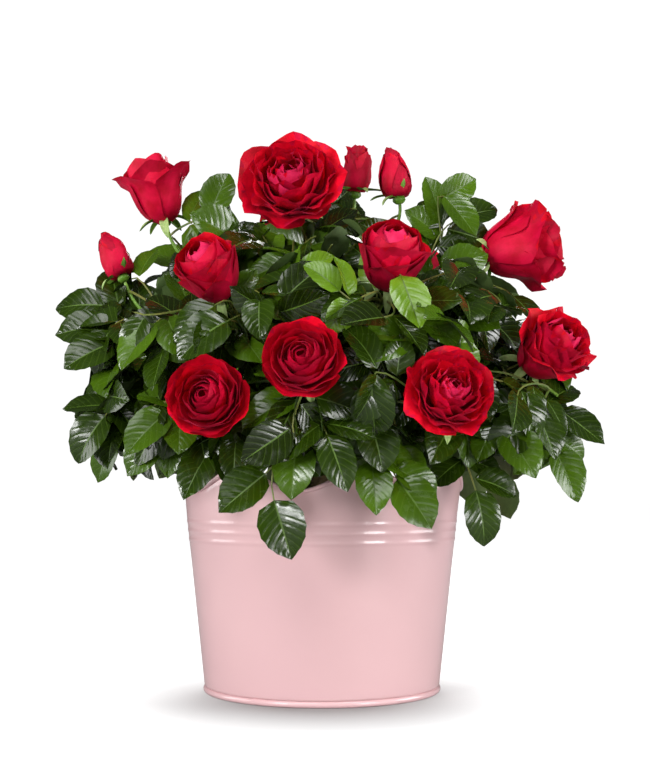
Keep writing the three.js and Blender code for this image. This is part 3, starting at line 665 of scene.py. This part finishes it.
def leaflet_points(hinge, way, normal, length, width, fold, curl, seed, teeth):
    """Leaflets as closed thin skins, (n, points, 3). Row t runs from 0 to 1 and q from -1 to 1 across:
    half width t^0.5 (1-t)^1.1 scaled to its greatest and toothed, side veins slanted forward by
    |q| sin(pi t), the blade raised by its fold, its quilting between the veins and its waved margin, then
    rolled down along an arc of the curl's angle. The underside has one line of points under the midrib."""
    n = len(hinge)
    length, width, fold, curl, seed = (
        values[:, None, None] for values in (length, width, fold, curl, seed))
    q = ACROSS
    row = np.arange(1, LEAF["rows"])[:, None]
    t = row / LEAF["rows"]
    odd = row % 2
    edge = np.abs(q) == 1
    blade = (np.abs(q) > 0.3) & ~edge
    tooth = teeth * edge * (2 * odd - 1)
    peak = 0.5 / 1.6
    shape = (t / peak) ** 0.5 * ((1 - t) / (1 - peak)) ** 1.1
    x = (t + 0.13 * np.abs(q) * np.sin(np.pi * t) + tooth / LEAF["rows"]) * length
    y = 0.5 * width * (shape * (1 + tooth)) * q
    quilt = 0.030 * width * (odd * blade) + 0.02 * width * blade * shape
    margin = 0.035 * width * edge * np.sin(2.3 * np.pi * t + seed + (q > 0) * 2)
    rib = -0.55 * (q == 0) - 0.10 * (np.abs(q) == 0.04)
    z = np.abs(y) * np.tan(fold) + quilt + margin + rib
    bow = curl * x / length
    radius = length / curl
    forward = radius * np.sin(bow) + z * np.sin(bow)
    height = -radius * (1 - np.cos(bow)) + z * np.cos(bow)
    side = np.cross(normal, way)
    points = (hinge[:, None, None] + forward[..., None] * way[:, None, None]
              + y[..., None] * side[:, None, None] + height[..., None] * normal[:, None, None])
    end = hinge + (radius * np.sin(curl))[:, 0] * way - (radius * (1 - np.cos(curl)))[:, 0] * normal
    return np.concatenate([hinge[:, None], points.reshape(n, -1, 3), end[:, None]], axis=1)


def leaflet_faces():
    """The leaflet's faces, and for each its part: 0 the blade, 1 the midrib, 2 the underside."""
    columns = len(ACROSS)
    faces = poled_faces(LEAF["rows"] - 1, columns)
    return faces, np.tile([0, 0, 1, 0, 0, 2, 2], len(faces) // columns)


def leaflet_uv():
    """Each point's place on its blade: across from 0 to 1, and along from base to tip."""
    t = np.arange(1, LEAF["rows"]) / LEAF["rows"]
    inner = np.stack(np.meshgrid(0.5 + 0.5 * ACROSS, t), axis=-1)
    return np.concatenate([[[0.5, 0.0]], inner.reshape(-1, 2), [[0.5, 1.0]]])


leaf = {key: np.array(values, dtype=float) for key, values in leaflets.items()}
leaf_shapes = leaflet_points(
    leaf["hinge"], leaf["way"], leaf["normal"],
    LEAF["length"] * leaf["size"],
    LEAF["width"] * leaf["size"] * (0.98 + 0.14 * jitter(leaf["seed"], 2, 4)),
    np.radians(LEAF["fold"][0] + LEAF["fold"][1] * jitter(leaf["seed"], 5, 1)),
    np.radians(LEAF["curl"][0] + LEAF["curl"][1] * jitter(leaf["seed"], 1, 9)),
    leaf["seed"] * 2.4, LEAF["tooth"])
leaf_faces, leaf_parts = leaflet_faces()

# ---------------------------------------------------------------- petals, sepals and hips


def petal_patch(kind, middle, face, diameter, number):
    """A bloom's petals. Petal k of n, at turn k times the golden angle, runs from its base to its lip on a
    cubic curve of (radius, height) whose ends lie at its start and end angles from the axis. Across, it is
    on an arc about the axis of that radius, never tighter than a least radius. Its half width grows as
    sin(pi v / 1.5). Its length falls off by |u|^p towards its sides and peaks in the middle, its side
    edges roll back and its lip waves. The back is the front moved out by the thickness, and shares its
    edges."""
    b = BLOOMS[kind]
    n = b["petals"]
    diameter = diameter * b["scale"]
    rows, columns = PETAL["rows"], PETAL["columns"]
    k = np.arange(n)
    share = (k / (n - 1)) ** 0.9
    radius, height, start, end, width, roll, wave = (
        np.interp(share, np.linspace(0, 1, 5), b[fact])
        for fact in ("radius", "height", "start", "end", "width", "roll", "wave"))
    wobble = jitter(k, number, 11)
    lip = np.stack([radius * (1 + 0.08 * wobble), height + 0.03 * jitter(k, number, 12)], axis=1)
    base = np.stack([b["base"][0] * (0.15 + 0.85 * share), b["base"][1] + 0.04 * (1 - share)], axis=1)
    start = np.radians(start)
    end = np.radians(end + 9 * jitter(k, number, 13))
    span = np.linalg.norm(lip - base, axis=1)[:, None]
    leave = np.stack([np.sin(start), np.cos(start)], axis=1)
    arrive = np.stack([np.sin(end), np.cos(end)], axis=1)
    corners = np.stack([base, base + leave * span * 0.42, lip - arrive * span * 0.42, lip], axis=1)

    u = np.linspace(-1, 1, columns)[None, None, :]
    v = np.linspace(0, 1, rows)[None, :, None]
    s, width, roll, wave = (values[:, None, None] for values in (share, width, roll, wave))
    peak = (0.02 + 0.09 * chance(k, number, 6) ** 2)[:, None, None]
    fall = (b["fall"][0] + (b["fall"][1] - b["fall"][0]) * s) * np.abs(u) ** (3.4 - 1.3 * s)
    fall = fall - peak * s * np.exp(-(u / 0.24) ** 2)
    longest = 1.12
    run = np.clip(v * (1 - fall), 0, longest)
    curve = petal_curves(corners, run)
    ahead = petal_curves(corners, np.minimum(run + 0.02, longest))
    tangent = unit(ahead - petal_curves(corners, run - 0.02))
    rho = np.maximum(curve[..., 0], 0.004)
    back = np.stack([tangent[..., 1], -tangent[..., 0]], axis=-1)
    half = width * (0.34 + 0.66 * np.sin(np.pi / 1.5 * np.minimum(run, 0.78)))
    arc = np.maximum(rho * (1 + 0.55 * s * run ** 2), 0.05 + 0.02 * s)
    a = np.clip(u * half / arc, -2.7, 2.7)
    phase = 6.3 * chance(k, number, 5)[:, None, None]
    lift = roll * np.abs(u) ** 2.2 * run ** 3
    lift = lift + wave * run ** 4 * np.sin(2.6 * np.pi * u + phase) + 0.018 * u
    turn = np.radians(k * GOLDEN_ANGLE + 360 * chance(number, 4, 8) + 8 * wobble)[:, None, None]
    across, side = square_pair(face)

    def skin(offset):
        """The petal moved to its back by an offset."""
        r = lift + offset
        out = arc * np.cos(a) + (rho - arc) + r * back[..., 0]
        sideways = (arc + r * back[..., 0]) * np.sin(a)
        rise = curve[..., 1] + r * back[..., 1]
        x = out * np.cos(turn) - sideways * np.sin(turn)
        y = out * np.sin(turn) + sideways * np.cos(turn)
        return middle + diameter * (x[..., None] * across + y[..., None] * side + rise[..., None] * face)

    front = skin(0.0)
    rear = skin(PETAL["thickness"] / diameter)[:, 1:-1, 1:-1]
    points = np.concatenate([front.reshape(n, -1, 3), rear.reshape(n, -1, 3)], axis=1)
    count = rows * columns
    rear_ids = np.arange(count).reshape(rows, columns)
    rear_ids[1:-1, 1:-1] = count + np.arange((rows - 2) * (columns - 2)).reshape(rows - 2, columns - 2)
    quads = grid_faces(rows, columns)
    faces = np.concatenate([quads, rear_ids.ravel()[quads][:, ::-1]])

    dark = kind in DARK_BLOOMS
    tint = (chance(k, number, 21) < (0.8 if dark else 0.4)).astype(int)
    rear_tint = np.where((share < 0.34) & (not dark), BACK_PINK, BACK_RED + tint)
    slots = np.repeat(np.stack([tint, rear_tint], axis=1), len(quads), axis=1)
    return closed_patch(points, faces, slots)


def petal_curves(corners, t):
    """Points (n, rows, columns, 2) of n cubic curves, each read at its own t (n, rows, columns)."""
    return np.einsum("nrck,nkd->nrcd", cubic_weights(t), corners)


def hip_patch(outline, middle, face):
    """A bloom's hip: its outline read four times as finely, smoothed once and turned about the face."""
    corner = np.linspace(0, 1, len(outline))
    t = np.linspace(0, 1, 4 * len(outline) - 3)
    fine = np.stack([np.interp(t, corner, outline[:, c]) for c in range(2)], axis=1)
    fine[1:-1] = (fine[:-2] + 2 * fine[1:-1] + fine[2:]) / 4
    rings = lathed(fine[1:-1], 12, middle, face)
    return ringed_patch(middle + face * fine[0, 1], rings, middle + face * fine[-1, 1])


petal_patches = []
hip_patches = []
sepals = []  # (hinge, way, normal, length, width, fold, curl, seed)
for number, (kind, middle, face, diameter) in enumerate(blooms):
    petal_patches.append(petal_patch(kind, middle, face, diameter, number))
    hip_kind = BLOOMS[kind]["hip"]
    hip = np.array(HIP[hip_kind]) * diameter
    hip_patches.append(hip_patch(hip, middle, face))
    neck_radius, neck_height = hip[3]
    long, wide = (0.9, 0.7) if kind == "bud" else (1.0, 1.0)
    for p in range(5):
        out = turned(square_pair(face)[0], face, 72 * p + 20 * jitter(number, p, 2))
        angle = np.radians(SEPAL_ANGLE[hip_kind] + 16 * jitter(number, p, 3))
        inwards = hip_kind == "bud" and chance(number, p, 6) >= 0.7
        sepals.append((
            middle + face * neck_height + out * neck_radius * 0.7,
            unit(out * np.sin(angle) + face * np.cos(angle)),
            unit(face * np.sin(angle) - out * np.cos(angle)),
            SEPAL["length"] * long * (1 + 0.2 * jitter(number, p, 5)),
            SEPAL["width"] * wide,
            SEPAL["fold"],
            np.radians((-1.0 if inwards else 1.0) * (50 + 35 * jitter(number, p, 7))),
            float(len(sepals)),
        ))
sepal_shapes = leaflet_points(*(np.array(facts) for facts in zip(*sepals)), 0.0)

# ---------------------------------------------------------------- materials


def cells(mm):
    """The scale at which a pattern on Object coordinates, which are metres, repeats every so many mm."""
    return 1000.0 / mm


def new_material(name, colour, roughness, **sockets):
    """A material with its shader, whose even numbers are set on the shader's own sockets."""
    material = bpy.data.materials.new(name)
    material.use_nodes = True
    tree = material.node_tree
    tree.nodes.clear()
    shader = add_node(tree, "BsdfPrincipled")
    add_node(tree, "OutputMaterial", {0: shader.outputs[0]})
    shader.inputs["Base Color"].default_value = linear(colour)
    shader.inputs["Roughness"].default_value = roughness
    for key, value in sockets.items():
        shader.inputs[key.replace("_", " ").title().replace("Ior", "IOR")].default_value = value
    return material, tree, shader


def add_node(tree, kind, links=None, values=None, **settings):
    """Adds one shader node of a kind, with what feeds its sockets, their values and its settings."""
    node = tree.nodes.new("ShaderNode" + kind)
    for key, value in settings.items():
        setattr(node, key, value)
    for key, value in (values or {}).items():
        node.inputs[key].default_value = value
    for key, source in (links or {}).items():
        tree.links.new(source, node.inputs[key])
    return node


def object_noise(tree, mm, detail=3.0, roughness=0.55):
    """Soft noise whose lumps are so many mm wide, fixed to the piece."""
    where = add_node(tree, "TexCoord")
    return add_node(tree, "TexNoise", {"Vector": where.outputs["Object"]},
                    {"Scale": cells(mm), "Detail": detail, "Roughness": roughness})


def drifting_colour(tree, noise, low, high, dark, light):
    """A colour that drifts between two hex colours as noise goes from low to high."""
    share = add_node(tree, "MapRange", {"Value": noise.outputs["Fac"]},
                     {"From Min": low, "From Max": high})
    return add_node(tree, "Mix", {0: share.outputs[0]}, {6: linear(dark), 7: linear(light)},
                    data_type="RGBA").outputs[2]


def bumped(tree, shader, height, mm, strength=1.0):
    """Gives a surface a relief so many mm high."""
    bump = add_node(tree, "Bump", {"Height": height}, {"Distance": mm * MM, "Strength": strength})
    tree.links.new(bump.outputs[0], shader.inputs["Normal"])


def drifting_skin(name, colours, roughness, lumps, span, grain, relief, strength=1.0, **sockets):
    """A skin whose colour drifts between two hex colours over lumps, as its noise goes over a span, with a
    relief of grain. Lumps and grain are what object_noise is told."""
    material, tree, shader = new_material(name, colours[0], roughness, **sockets)
    colour = drifting_colour(tree, object_noise(tree, *lumps), *span, *colours)
    tree.links.new(colour, shader.inputs["Base Color"])
    bumped(tree, shader, object_noise(tree, *grain).outputs["Fac"], relief, strength)
    return material, shader


def leaf_blade(name, dark, light, roughness):
    """A rose leaflet's waxy upper side. It gives the eye a colour that drifts from leaf to leaf, impressed
    side veins slanted forward from the midrib, a fine net of cells between them, and the broken shine of a
    cuticle."""
    material, tree, shader = new_material(name, dark, roughness, specular_ior_level=0.44)
    drift = drifting_colour(tree, object_noise(tree, 34, 2), 0.34, 0.68, dark, light)
    blade = add_node(tree, "UVMap", uv_map="blade")
    parts = add_node(tree, "SeparateXYZ", {0: blade.outputs[0]})
    # Eight side veins on each half, one every 4 mm, run forward as they leave the midrib.
    across = add_node(tree, "Math", {0: parts.outputs[0]}, {1: 0.5}, operation="SUBTRACT")
    away = add_node(tree, "Math", {0: across.outputs[0]}, operation="ABSOLUTE")
    slant = add_node(tree, "Math", {0: away.outputs[0]}, {1: -2.6}, operation="MULTIPLY")
    along = add_node(tree, "Math", {0: parts.outputs[1]}, {1: 8.0}, operation="MULTIPLY")
    phase = add_node(tree, "Math", {0: along.outputs[0], 1: slant.outputs[0]}, operation="ADD")
    saw = add_node(tree, "Math", {0: phase.outputs[0]}, {1: 0.5}, operation="PINGPONG")
    vein = add_node(tree, "MapRange", {"Value": saw.outputs[0]}, {"From Max": 0.30})
    line = add_node(tree, "MapRange", {"Value": saw.outputs[0]},
                    {"From Max": 0.10, "To Min": 0.16, "To Max": 0.0})
    veined = add_node(tree, "Mix", {0: line.outputs[0], 6: drift}, {7: linear("#6d8a34")},
                      data_type="RGBA")
    tree.links.new(veined.outputs[2], shader.inputs["Base Color"])
    # The real net is under 1 mm wide. It is drawn 1.5 mm wide to show.
    where = add_node(tree, "TexCoord")
    net = add_node(tree, "TexVoronoi", {"Vector": where.outputs["Object"]}, {"Scale": cells(1.5)},
                   feature="SMOOTH_F1")
    relief = add_node(tree, "Math", {0: net.outputs["Distance"]}, {1: 0.35}, operation="MULTIPLY")
    height = add_node(tree, "Math", {0: vein.outputs[0], 1: relief.outputs[0]}, operation="ADD")
    bumped(tree, shader, height.outputs[0], 0.075)
    # The cuticle is glossier and duller in patches of 5 mm.
    gloss = add_node(tree, "MapRange", {"Value": object_noise(tree, 5, 4).outputs["Fac"]},
                     {"From Min": 0.3, "From Max": 0.7, "To Min": roughness - 0.08,
                      "To Max": roughness + 0.14})
    tree.links.new(gloss.outputs[0], shader.inputs["Roughness"])
    return material


def plain_plant(name, dark, light, roughness, mm, relief):
    """Green or brown plant skin. It gives the eye a drift between two colours in lumps of so many mm, and a
    relief of grains a fifth as wide."""
    return drifting_skin(name, (dark, light), roughness, (mm, 4), (0.35, 0.65), (mm / 5, 3), relief)[0]


def petal_skin(name, dark, light, roughness):
    """A rose petal. It gives the eye a velvet bloom where it turns away, a drift of deeper red over 9 mm,
    and a fine grain, drawn 1.2 mm wide to show."""
    material, shader = drifting_skin(
        name, (dark, light), roughness, (9, 3), (0.32, 0.68), (1.2, 4), 0.10, 0.6,
        specular_ior_level=0.14, sheen_weight=0.14, sheen_roughness=0.4)
    shader.inputs["Sheen Tint"].default_value = linear("#ff5080")
    return material


# Rose leaves from the old and dark to the young, their matt ribs and their felted, paler undersides.
leaf_materials = [
    leaf_blade("rose_leaf_dark", "#152102", "#1e2d03", 0.18),
    leaf_blade("rose_leaf_deep", "#1c2d03", "#293e05", 0.18),
    leaf_blade("rose_leaf_mid", "#324b06", "#45640c", 0.20),
    leaf_blade("rose_leaf_young", "#4d6f12", "#698c1c", 0.22),
    plain_plant("rose_leaf_midrib", "#3f5812", "#4f6d1c", 0.45, 12, 0.05),
    plain_plant("rose_leaf_underside", "#405626", "#536a34", 0.6, 9, 0.10),
]
rib_or_back = np.where(leaf_parts == 1, MIDRIB, UNDERSIDE)
leaf_slots = np.where(leaf_parts == 0, leaf["kind"].astype(int)[:, None], rib_or_back)

# The petals' faces are scarlet or crimson, and their backs duller and bluer, pink at a bloom's heart.
petal_materials = [
    petal_skin("petal_scarlet", "#c00014", "#ec082c", 0.5),
    petal_skin("petal_crimson", "#a00014", "#d60228", 0.5),
    petal_skin("petal_back_red", "#b20022", "#d60a3c", 0.55),
    petal_skin("petal_back_crimson", "#94001e", "#be0834", 0.55),
    petal_skin("petal_back_pink", "#cc0c48", "#ea3466", 0.55),
]
# Young stems, hips and sepals are a smooth bright green, and sepals downy inside. Leaf stalks are tinged
# with brown, old twigs are brown and slightly rough, and the stock's bark is matt and furrowed.
stalk_green = plain_plant("young_stem_green", "#5f8f2c", "#86ad45", 0.42, 14, 0.08)
stalk_leaf = plain_plant("leaf_stalk", "#5b7430", "#7f7a3a", 0.45, 16, 0.06)
twig_brown = plain_plant("old_twig", "#4d4a22", "#6b5a30", 0.6, 9, 0.25)
hip_green = plain_plant("rose_hip_green", "#4f8020", "#74a236", 0.38, 5, 0.05)
sepal_green = plain_plant("sepal_green", "#4f7f22", "#7ca640", 0.48, 6, 0.06)
sepal_inner = plain_plant("sepal_inner_down", "#8aa85c", "#a9c07c", 0.75, 4, 0.08)
bark_wood = plain_plant("rose_bark", "#4a3c26", "#6f5c3c", 0.85, 6, 0.8)

# ---------------------------------------------------------------- pieces of the plant

behind = leaf["hinge"][:, 1] > BACK_FROM["leaves"]
on_left = leaf["hinge"][:, 0] < 0
back_names = [name for name in MASSES if name.startswith("back")]
left_names = [name for name in MASSES if name not in back_names and MASSES[name][0][0] < 0]
right_names = [name for name in MASSES if name not in back_names + left_names]
blade_uv = leaflet_uv()
for piece_name, chosen, names in (
    ("leaves_left", ~behind & on_left, left_names),
    ("leaves_right", ~behind & ~on_left, right_names),
    ("leaves_back", behind, back_names),
):
    patch = closed_patch(leaf_shapes[chosen], leaf_faces, leaf_slots[chosen])
    add_piece(piece_name, patch, leaf_materials, [f"mass_{name}" for name in names],
              uv=np.tile(blade_uv, (int(chosen.sum()), 1)))

add_piece("petals", joined(petal_patches), petal_materials, (), sharp=80)

sepal_patch = closed_patch(sepal_shapes, leaf_faces, np.where(leaf_parts == 2, 1, 2))
add_piece("hips_and_sepals", joined([*hip_patches, sepal_patch]), [hip_green, sepal_green, sepal_inner],
          ())

roots = np.array([root for _, root, _ in twigs])[:, None]
share_along = np.linspace(0, 1, SHOOT["stations"])
swelling = 1 + 0.10 * np.maximum(0, np.sin(share_along * 34 + roots * 50)) ** 6
stations, sides = SHOOT["stations"], SHOOT["sides"]
station = np.repeat([*range(stations - 1), 0, stations], sides)  # of each face, its two caps' last
carries = np.array([carries for _, _, carries in twigs])[:, None]
green_from = np.where(carries, 0.35, 0.6)  # the share of a twig from which it is green
twig_slots = (station / stations > green_from).astype(int)
twig_patch = limb_patch([curve for curve, _, _ in twigs], SHOOT, roots, twig_slots, swelling)
stalk_roots = np.array([root for _, root in stalks])[:, None]
stalk_patch = limb_patch([curve for curve, _ in stalks], STALK, stalk_roots, (2,))
add_piece("twigs_and_stalks", joined([twig_patch, stalk_patch]), [twig_brown, stalk_green, stalk_leaf],
          ())

numbers = np.arange(len(limbs))[:, None, None]
rows = np.arange(CANE["stations"])[None, :, None]
ridges = 1 + 0.07 * jitter(numbers, rows, np.arange(CANE["sides"])) + 0.10 * (rows % 6 == 3)
cane_roots = np.full((len(limbs), 1), CANE["root"])
add_piece("canes", limb_patch(limbs, CANE, cane_roots, relief=ridges), [twig_brown],
          [f"cane_{name}" for name in MASSES])


def stock_patch(rows=40, around=96):
    """The woody stock: a dome on a slightly wider foot, its radius waved by knuckles, 1 + sum of sines of
    heading and height, and cut by upright furrows of bark."""
    t = np.linspace(0, 1, rows)[:-1]
    foot = COMPOST["top"] + CLEARANCE
    height = foot + (STEM["top"] - foot) * np.sin(t * np.pi / 2) ** 1.2
    dome = np.sqrt(np.clip(1 - (np.maximum(height - STEM["middle"], 0) / STEM["radius"]) ** 2, 0.0, 1))
    radius = STEM["radius"] * dome * (1 + 0.10 * np.exp(-(height - foot) / 2.5))
    a = angles_round(around)
    row = np.arange(rows - 1)[:, None]
    knuckle = 0.05 * np.sin(3 * a + 1.0) * np.sin(row * 0.21) + 0.04 * np.sin(5 * a + row * 0.3)
    furrow = -0.045 * np.abs(np.sin(11 * a + 0.9 * np.sin(row * 0.35))) ** 0.5
    rings = lathed(np.stack([radius, height], axis=1), around, swell=0.98 + knuckle + furrow)
    return ringed_patch(foot * UP, rings, STEM["top"] * UP)


add_piece("stock", stock_patch(), [bark_wood], ["stem"])

# ---------------------------------------------------------------- pot and compost


def round_bead(reach, height, wide, high, angles):
    """Points of a bead: (reach + wide cos a, height + high sin a)."""
    return [(reach + wide * np.cos(a), height + high * np.sin(a)) for a in np.radians(angles)]


def pot_outline():
    """The pot's section from the middle of its underside, up the outside, over the rolled rim and down the
    inside: a straight wall with a rounded foot bead, three ribs, each a squared raised cosine, and a round
    bead at the rim."""
    p = POT
    foot = [(0.0, 0.9), (20.0, 0.9), (40.0, 0.9), (56.0, 0.9), (61.0, 0.9), (62.5, 0.6), (63.6, 0.15),
            (64.6, 0.0)]
    bead = round_bead(p["base"] - 0.4, p["foot_bead"], p["foot_rise"] + 0.4, p["foot_bead"],
                      np.linspace(-90, 90, 9))
    crease = [(pot_reach(3.9) - 0.15, 3.75), (pot_reach(4.6), 4.6)]
    wall = [(pot_reach(h), h) for h in np.linspace(8, p["ribs"][0] - 3.6, 14)]
    half = p["rib_pitch"] / 2
    ribs = []
    for h in np.arange(p["ribs"][0] - half, p["ribs"][-1] + half + 0.01, 0.5):
        wave = 0.5 - 0.5 * np.cos(2 * np.pi * (h - p["ribs"][0] + half) / p["rib_pitch"])
        ribs.append((pot_reach(h) + p["rib_rise"] * wave ** 2, h))
    upper = [(pot_reach(h), h) for h in np.linspace(ribs[-1][1] + 0.8, p["height"] - 3.4, 8)]
    roll = round_bead(p["rim"] - 0.2, p["height"] - p["bead"], p["bead"], p["bead"],
                      np.linspace(-100, 190, 16))
    inner = [(pot_reach(h) - p["wall"], h) for h in np.linspace(p["height"] - 3.2, p["floor"] + 1, 14)]
    inner += [(pot_reach(0) - p["wall"] - 2, p["floor"] + 0.1), (40.0, p["floor"]), (0.0, p["floor"])]
    return np.array(foot + bead + crease + wall + ribs + upper + roll + inner)


def pot_patch():
    """The pot turned from its section, its upper wall stretched up and down by a cosine of the heading."""
    outline = pot_outline()
    a = angles_round(POT["around"])[None]
    r, z = outline[:, :1], outline[:, 1:]
    start = POT["ribs"][-1] + POT["rib_pitch"] / 2
    share = np.clip((z - start) / (POT["height"] - start), 0, 1)
    wave = np.cos(POT["scallops"] * (a - np.radians(POT["first_peak"])))
    rings = np.stack([r * np.sin(a), -r * np.cos(a), z + share * POT["scallop_rise"] * wave], axis=-1)
    return ringed_patch(rings[0, 0], rings[1:-1], rings[-1, 0])


def enamelled_steel():
    """Pink enamel on pressed steel. It gives the eye a clean glossy coat with a faint ripple of sprayed
    paint and a very slight drift of tone."""
    return drifting_skin(
        "enamelled_steel_pink", ("#d6aeb1", "#dab2b4"), 0.30, (60, 2), (0.3, 0.7), (7, 2), 0.05,
        coat_weight=0.5, coat_roughness=0.08, specular_ior_level=0.5)[0]


add_piece("pot_shell", pot_patch(), [enamelled_steel()], ["pot"], sharp=60)


def compost_patch(rows=70, around=180):
    """The compost: a closed drum whose top is a height field, lumps summed from sines of three sizes and a
    seeded crumb at every point."""
    gap = POT["wall"] + CLEARANCE
    level = COMPOST["top"] - COMPOST["sink"]
    foot = POT["floor"] + CLEARANCE
    a = angles_round(around)[None]

    def ring(r, z):
        """Points round the axis at a radius and a height."""
        x, y = r * np.sin(a), -r * np.cos(a)
        return np.stack([x, y, np.broadcast_to(z, x.shape)], axis=-1)

    r = (pot_reach(COMPOST["top"]) - gap - COMPOST["inset"]) * np.linspace(0, 1, rows)[1:, None]
    x, y = r * np.sin(a), -r * np.cos(a)
    lumps = 0.5 * np.sin(x * 0.31 + 1) * np.sin(y * 0.27) + 0.35 * np.sin(x * 0.83 + y * 0.41)
    lumps = lumps + 0.3 * np.sin(y * 1.3 - x)
    crumbs = 0.7 * chance(np.round(x, 1), np.round(y, 1), 3.0)
    walls = [ring(pot_reach(h) - gap - COMPOST["inset"], h) for h in (*COMPOST["wall_heights"], foot)]
    rings = np.concatenate([ring(r, level + lumps * 0.5 + crumbs), *walls])
    return ringed_patch(level * UP, rings, foot * UP)


def moist_compost():
    """Moist peat and bark compost. It gives the eye dull crumbs that drift between two dark browns."""
    return drifting_skin("moist_compost", ("#1b110b", "#4c3626"), 0.92, (2.5, 6, 0.7), (0.4, 0.66),
                         (1.2, 5, 0.7), 0.8)[0]


add_piece("compost_fill", compost_patch(), [moist_compost()], ["compost"], sharp=70)

# ---------------------------------------------------------------- floor, light and camera


def add_floor():
    """A plain pale studio floor, seen whiter than it lights and whiter away from the pot. Its glow fades
    towards a spot just before the pot's foot, a painted shadow laid over the real soft shadow there, so that
    only that shadow stands out on it."""
    material, tree, shader = new_material("studio_floor", "#969696", 0.9)
    shader.inputs["Emission Color"].default_value = (1, 1, 1, 1)
    path = add_node(tree, "LightPath")
    where = add_node(tree, "TexCoord")
    away = add_node(tree, "VectorMath", {0: where.outputs["Object"]}, {1: FLOOR["foot"]}, operation="DISTANCE")
    # The glow is least near the pot's foot and grows outwards: a painted shadow round the foot.
    glow = add_node(tree, "MapRange", {"Value": away.outputs["Value"]},
                    {"From Min": FLOOR["near"], "From Max": FLOOR["far"], "To Max": FLOOR["glow"]})
    seen = add_node(tree, "Math", {0: path.outputs["Is Camera Ray"], 1: glow.outputs[0]},
                    operation="MULTIPLY")
    tree.links.new(seen.outputs[0], shader.inputs["Emission Strength"])
    tone = drifting_colour(tree, object_noise(tree, 400, 1), 0, 1, "#949494", "#989898")
    tree.links.new(tone, shader.inputs["Base Color"])
    mesh = bpy.data.meshes.new("floor")
    corners = [(x * FLOOR["half"], y * FLOOR["half"], 0) for x, y in ((-1, -1), (1, -1), (1, 1), (-1, 1))]
    mesh.from_pydata(corners, [], [(0, 1, 2, 3)])
    mesh.materials.append(material)
    add_object("floor", mesh)


def add_light(name, spot, target, size, power, gloss):
    """A soft square light at a spot, turned to a target, both in metres, with its share in the gloss."""
    light = bpy.data.lights.new(name, "AREA")
    light.shape = "SQUARE"
    light.size = size
    light.energy = power
    light.specular_factor = gloss
    holder = add_object(name, light)
    holder.location = spot
    holder.rotation_euler = (Vector(target) - Vector(spot)).to_track_quat("-Z", "Y").to_euler()


def add_world(strength, seen):
    """White surroundings, of one strength as light and another as the backdrop."""
    world = bpy.data.worlds.new("studio")
    world.use_nodes = True
    tree = world.node_tree
    tree.nodes.clear()
    white = (1, 1, 1, 1)
    light = add_node(tree, "Background", values={"Color": white, "Strength": strength})
    backdrop = add_node(tree, "Background", values={"Color": white, "Strength": seen})
    path = add_node(tree, "LightPath")
    mix = add_node(tree, "MixShader", {0: path.outputs["Is Camera Ray"], 1: light.outputs[0],
                                       2: backdrop.outputs[0]})
    add_node(tree, "OutputWorld", {0: mix.outputs[0]})
    bpy.context.scene.world = world


def add_sky_light(power, spread, tilt):
    """Even soft light from above and before the bush, the same over the whole floor: its power, how many
    degrees wide it is and how it is turned."""
    light = bpy.data.lights.new("overhead_sun", "SUN")
    light.energy = power
    light.angle = np.radians(spread)
    add_object("overhead_sun", light).rotation_euler = (np.radians(tilt[0]), np.radians(tilt[1]), 0)


add_floor()
add_world(0.07, 1.05)
add_sky_light(0.9, 25, (42, -16))
add_light("key_softbox", (-0.82, -1.05, 0.44), (0, 0, 0.14), 0.38, 12, 0.8)
add_light("fill_softbox", (0.90, -0.95, 0.16), (0, 0, 0.12), 0.4, 8.5, 1.2)
add_light("front_softbox", (0.05, -1.25, 0.03), (0, 0, 0.08), 0.5, 1.6, 0.3)
add_light("top_softbox", (0.40, -0.50, 1.15), (0, 0, 0.20), 0.35, 4.5, 1.6)
add_light("left_softbox", (-1.2, 0.0, 0.30), (0, 0, 0.12), 0.6, 5.5, 0.15)
add_light("right_softbox", (1.2, 0.0, 0.30), (0, 0, 0.12), 0.6, 8.5, 0.3)
add_light("back_softbox", (0.1, 1.3, 0.75), (0, 0, 0.16), 0.6, 9, 0.4)

camera = bpy.data.cameras.new("camera")
camera.sensor_width = CAMERA["sensor"]
camera.lens = CAMERA["sensor"] * CAMERA["focal"] / CAMERA["high"]
camera_holder = add_object("camera", camera)
camera_holder.location = CAMERA["place"]
camera_holder.rotation_euler = (np.radians(90 + CAMERA["tilt"]), 0, 0)
bpy.context.scene.camera = camera_holder
bpy.context.scene.view_settings.view_transform = "Standard"
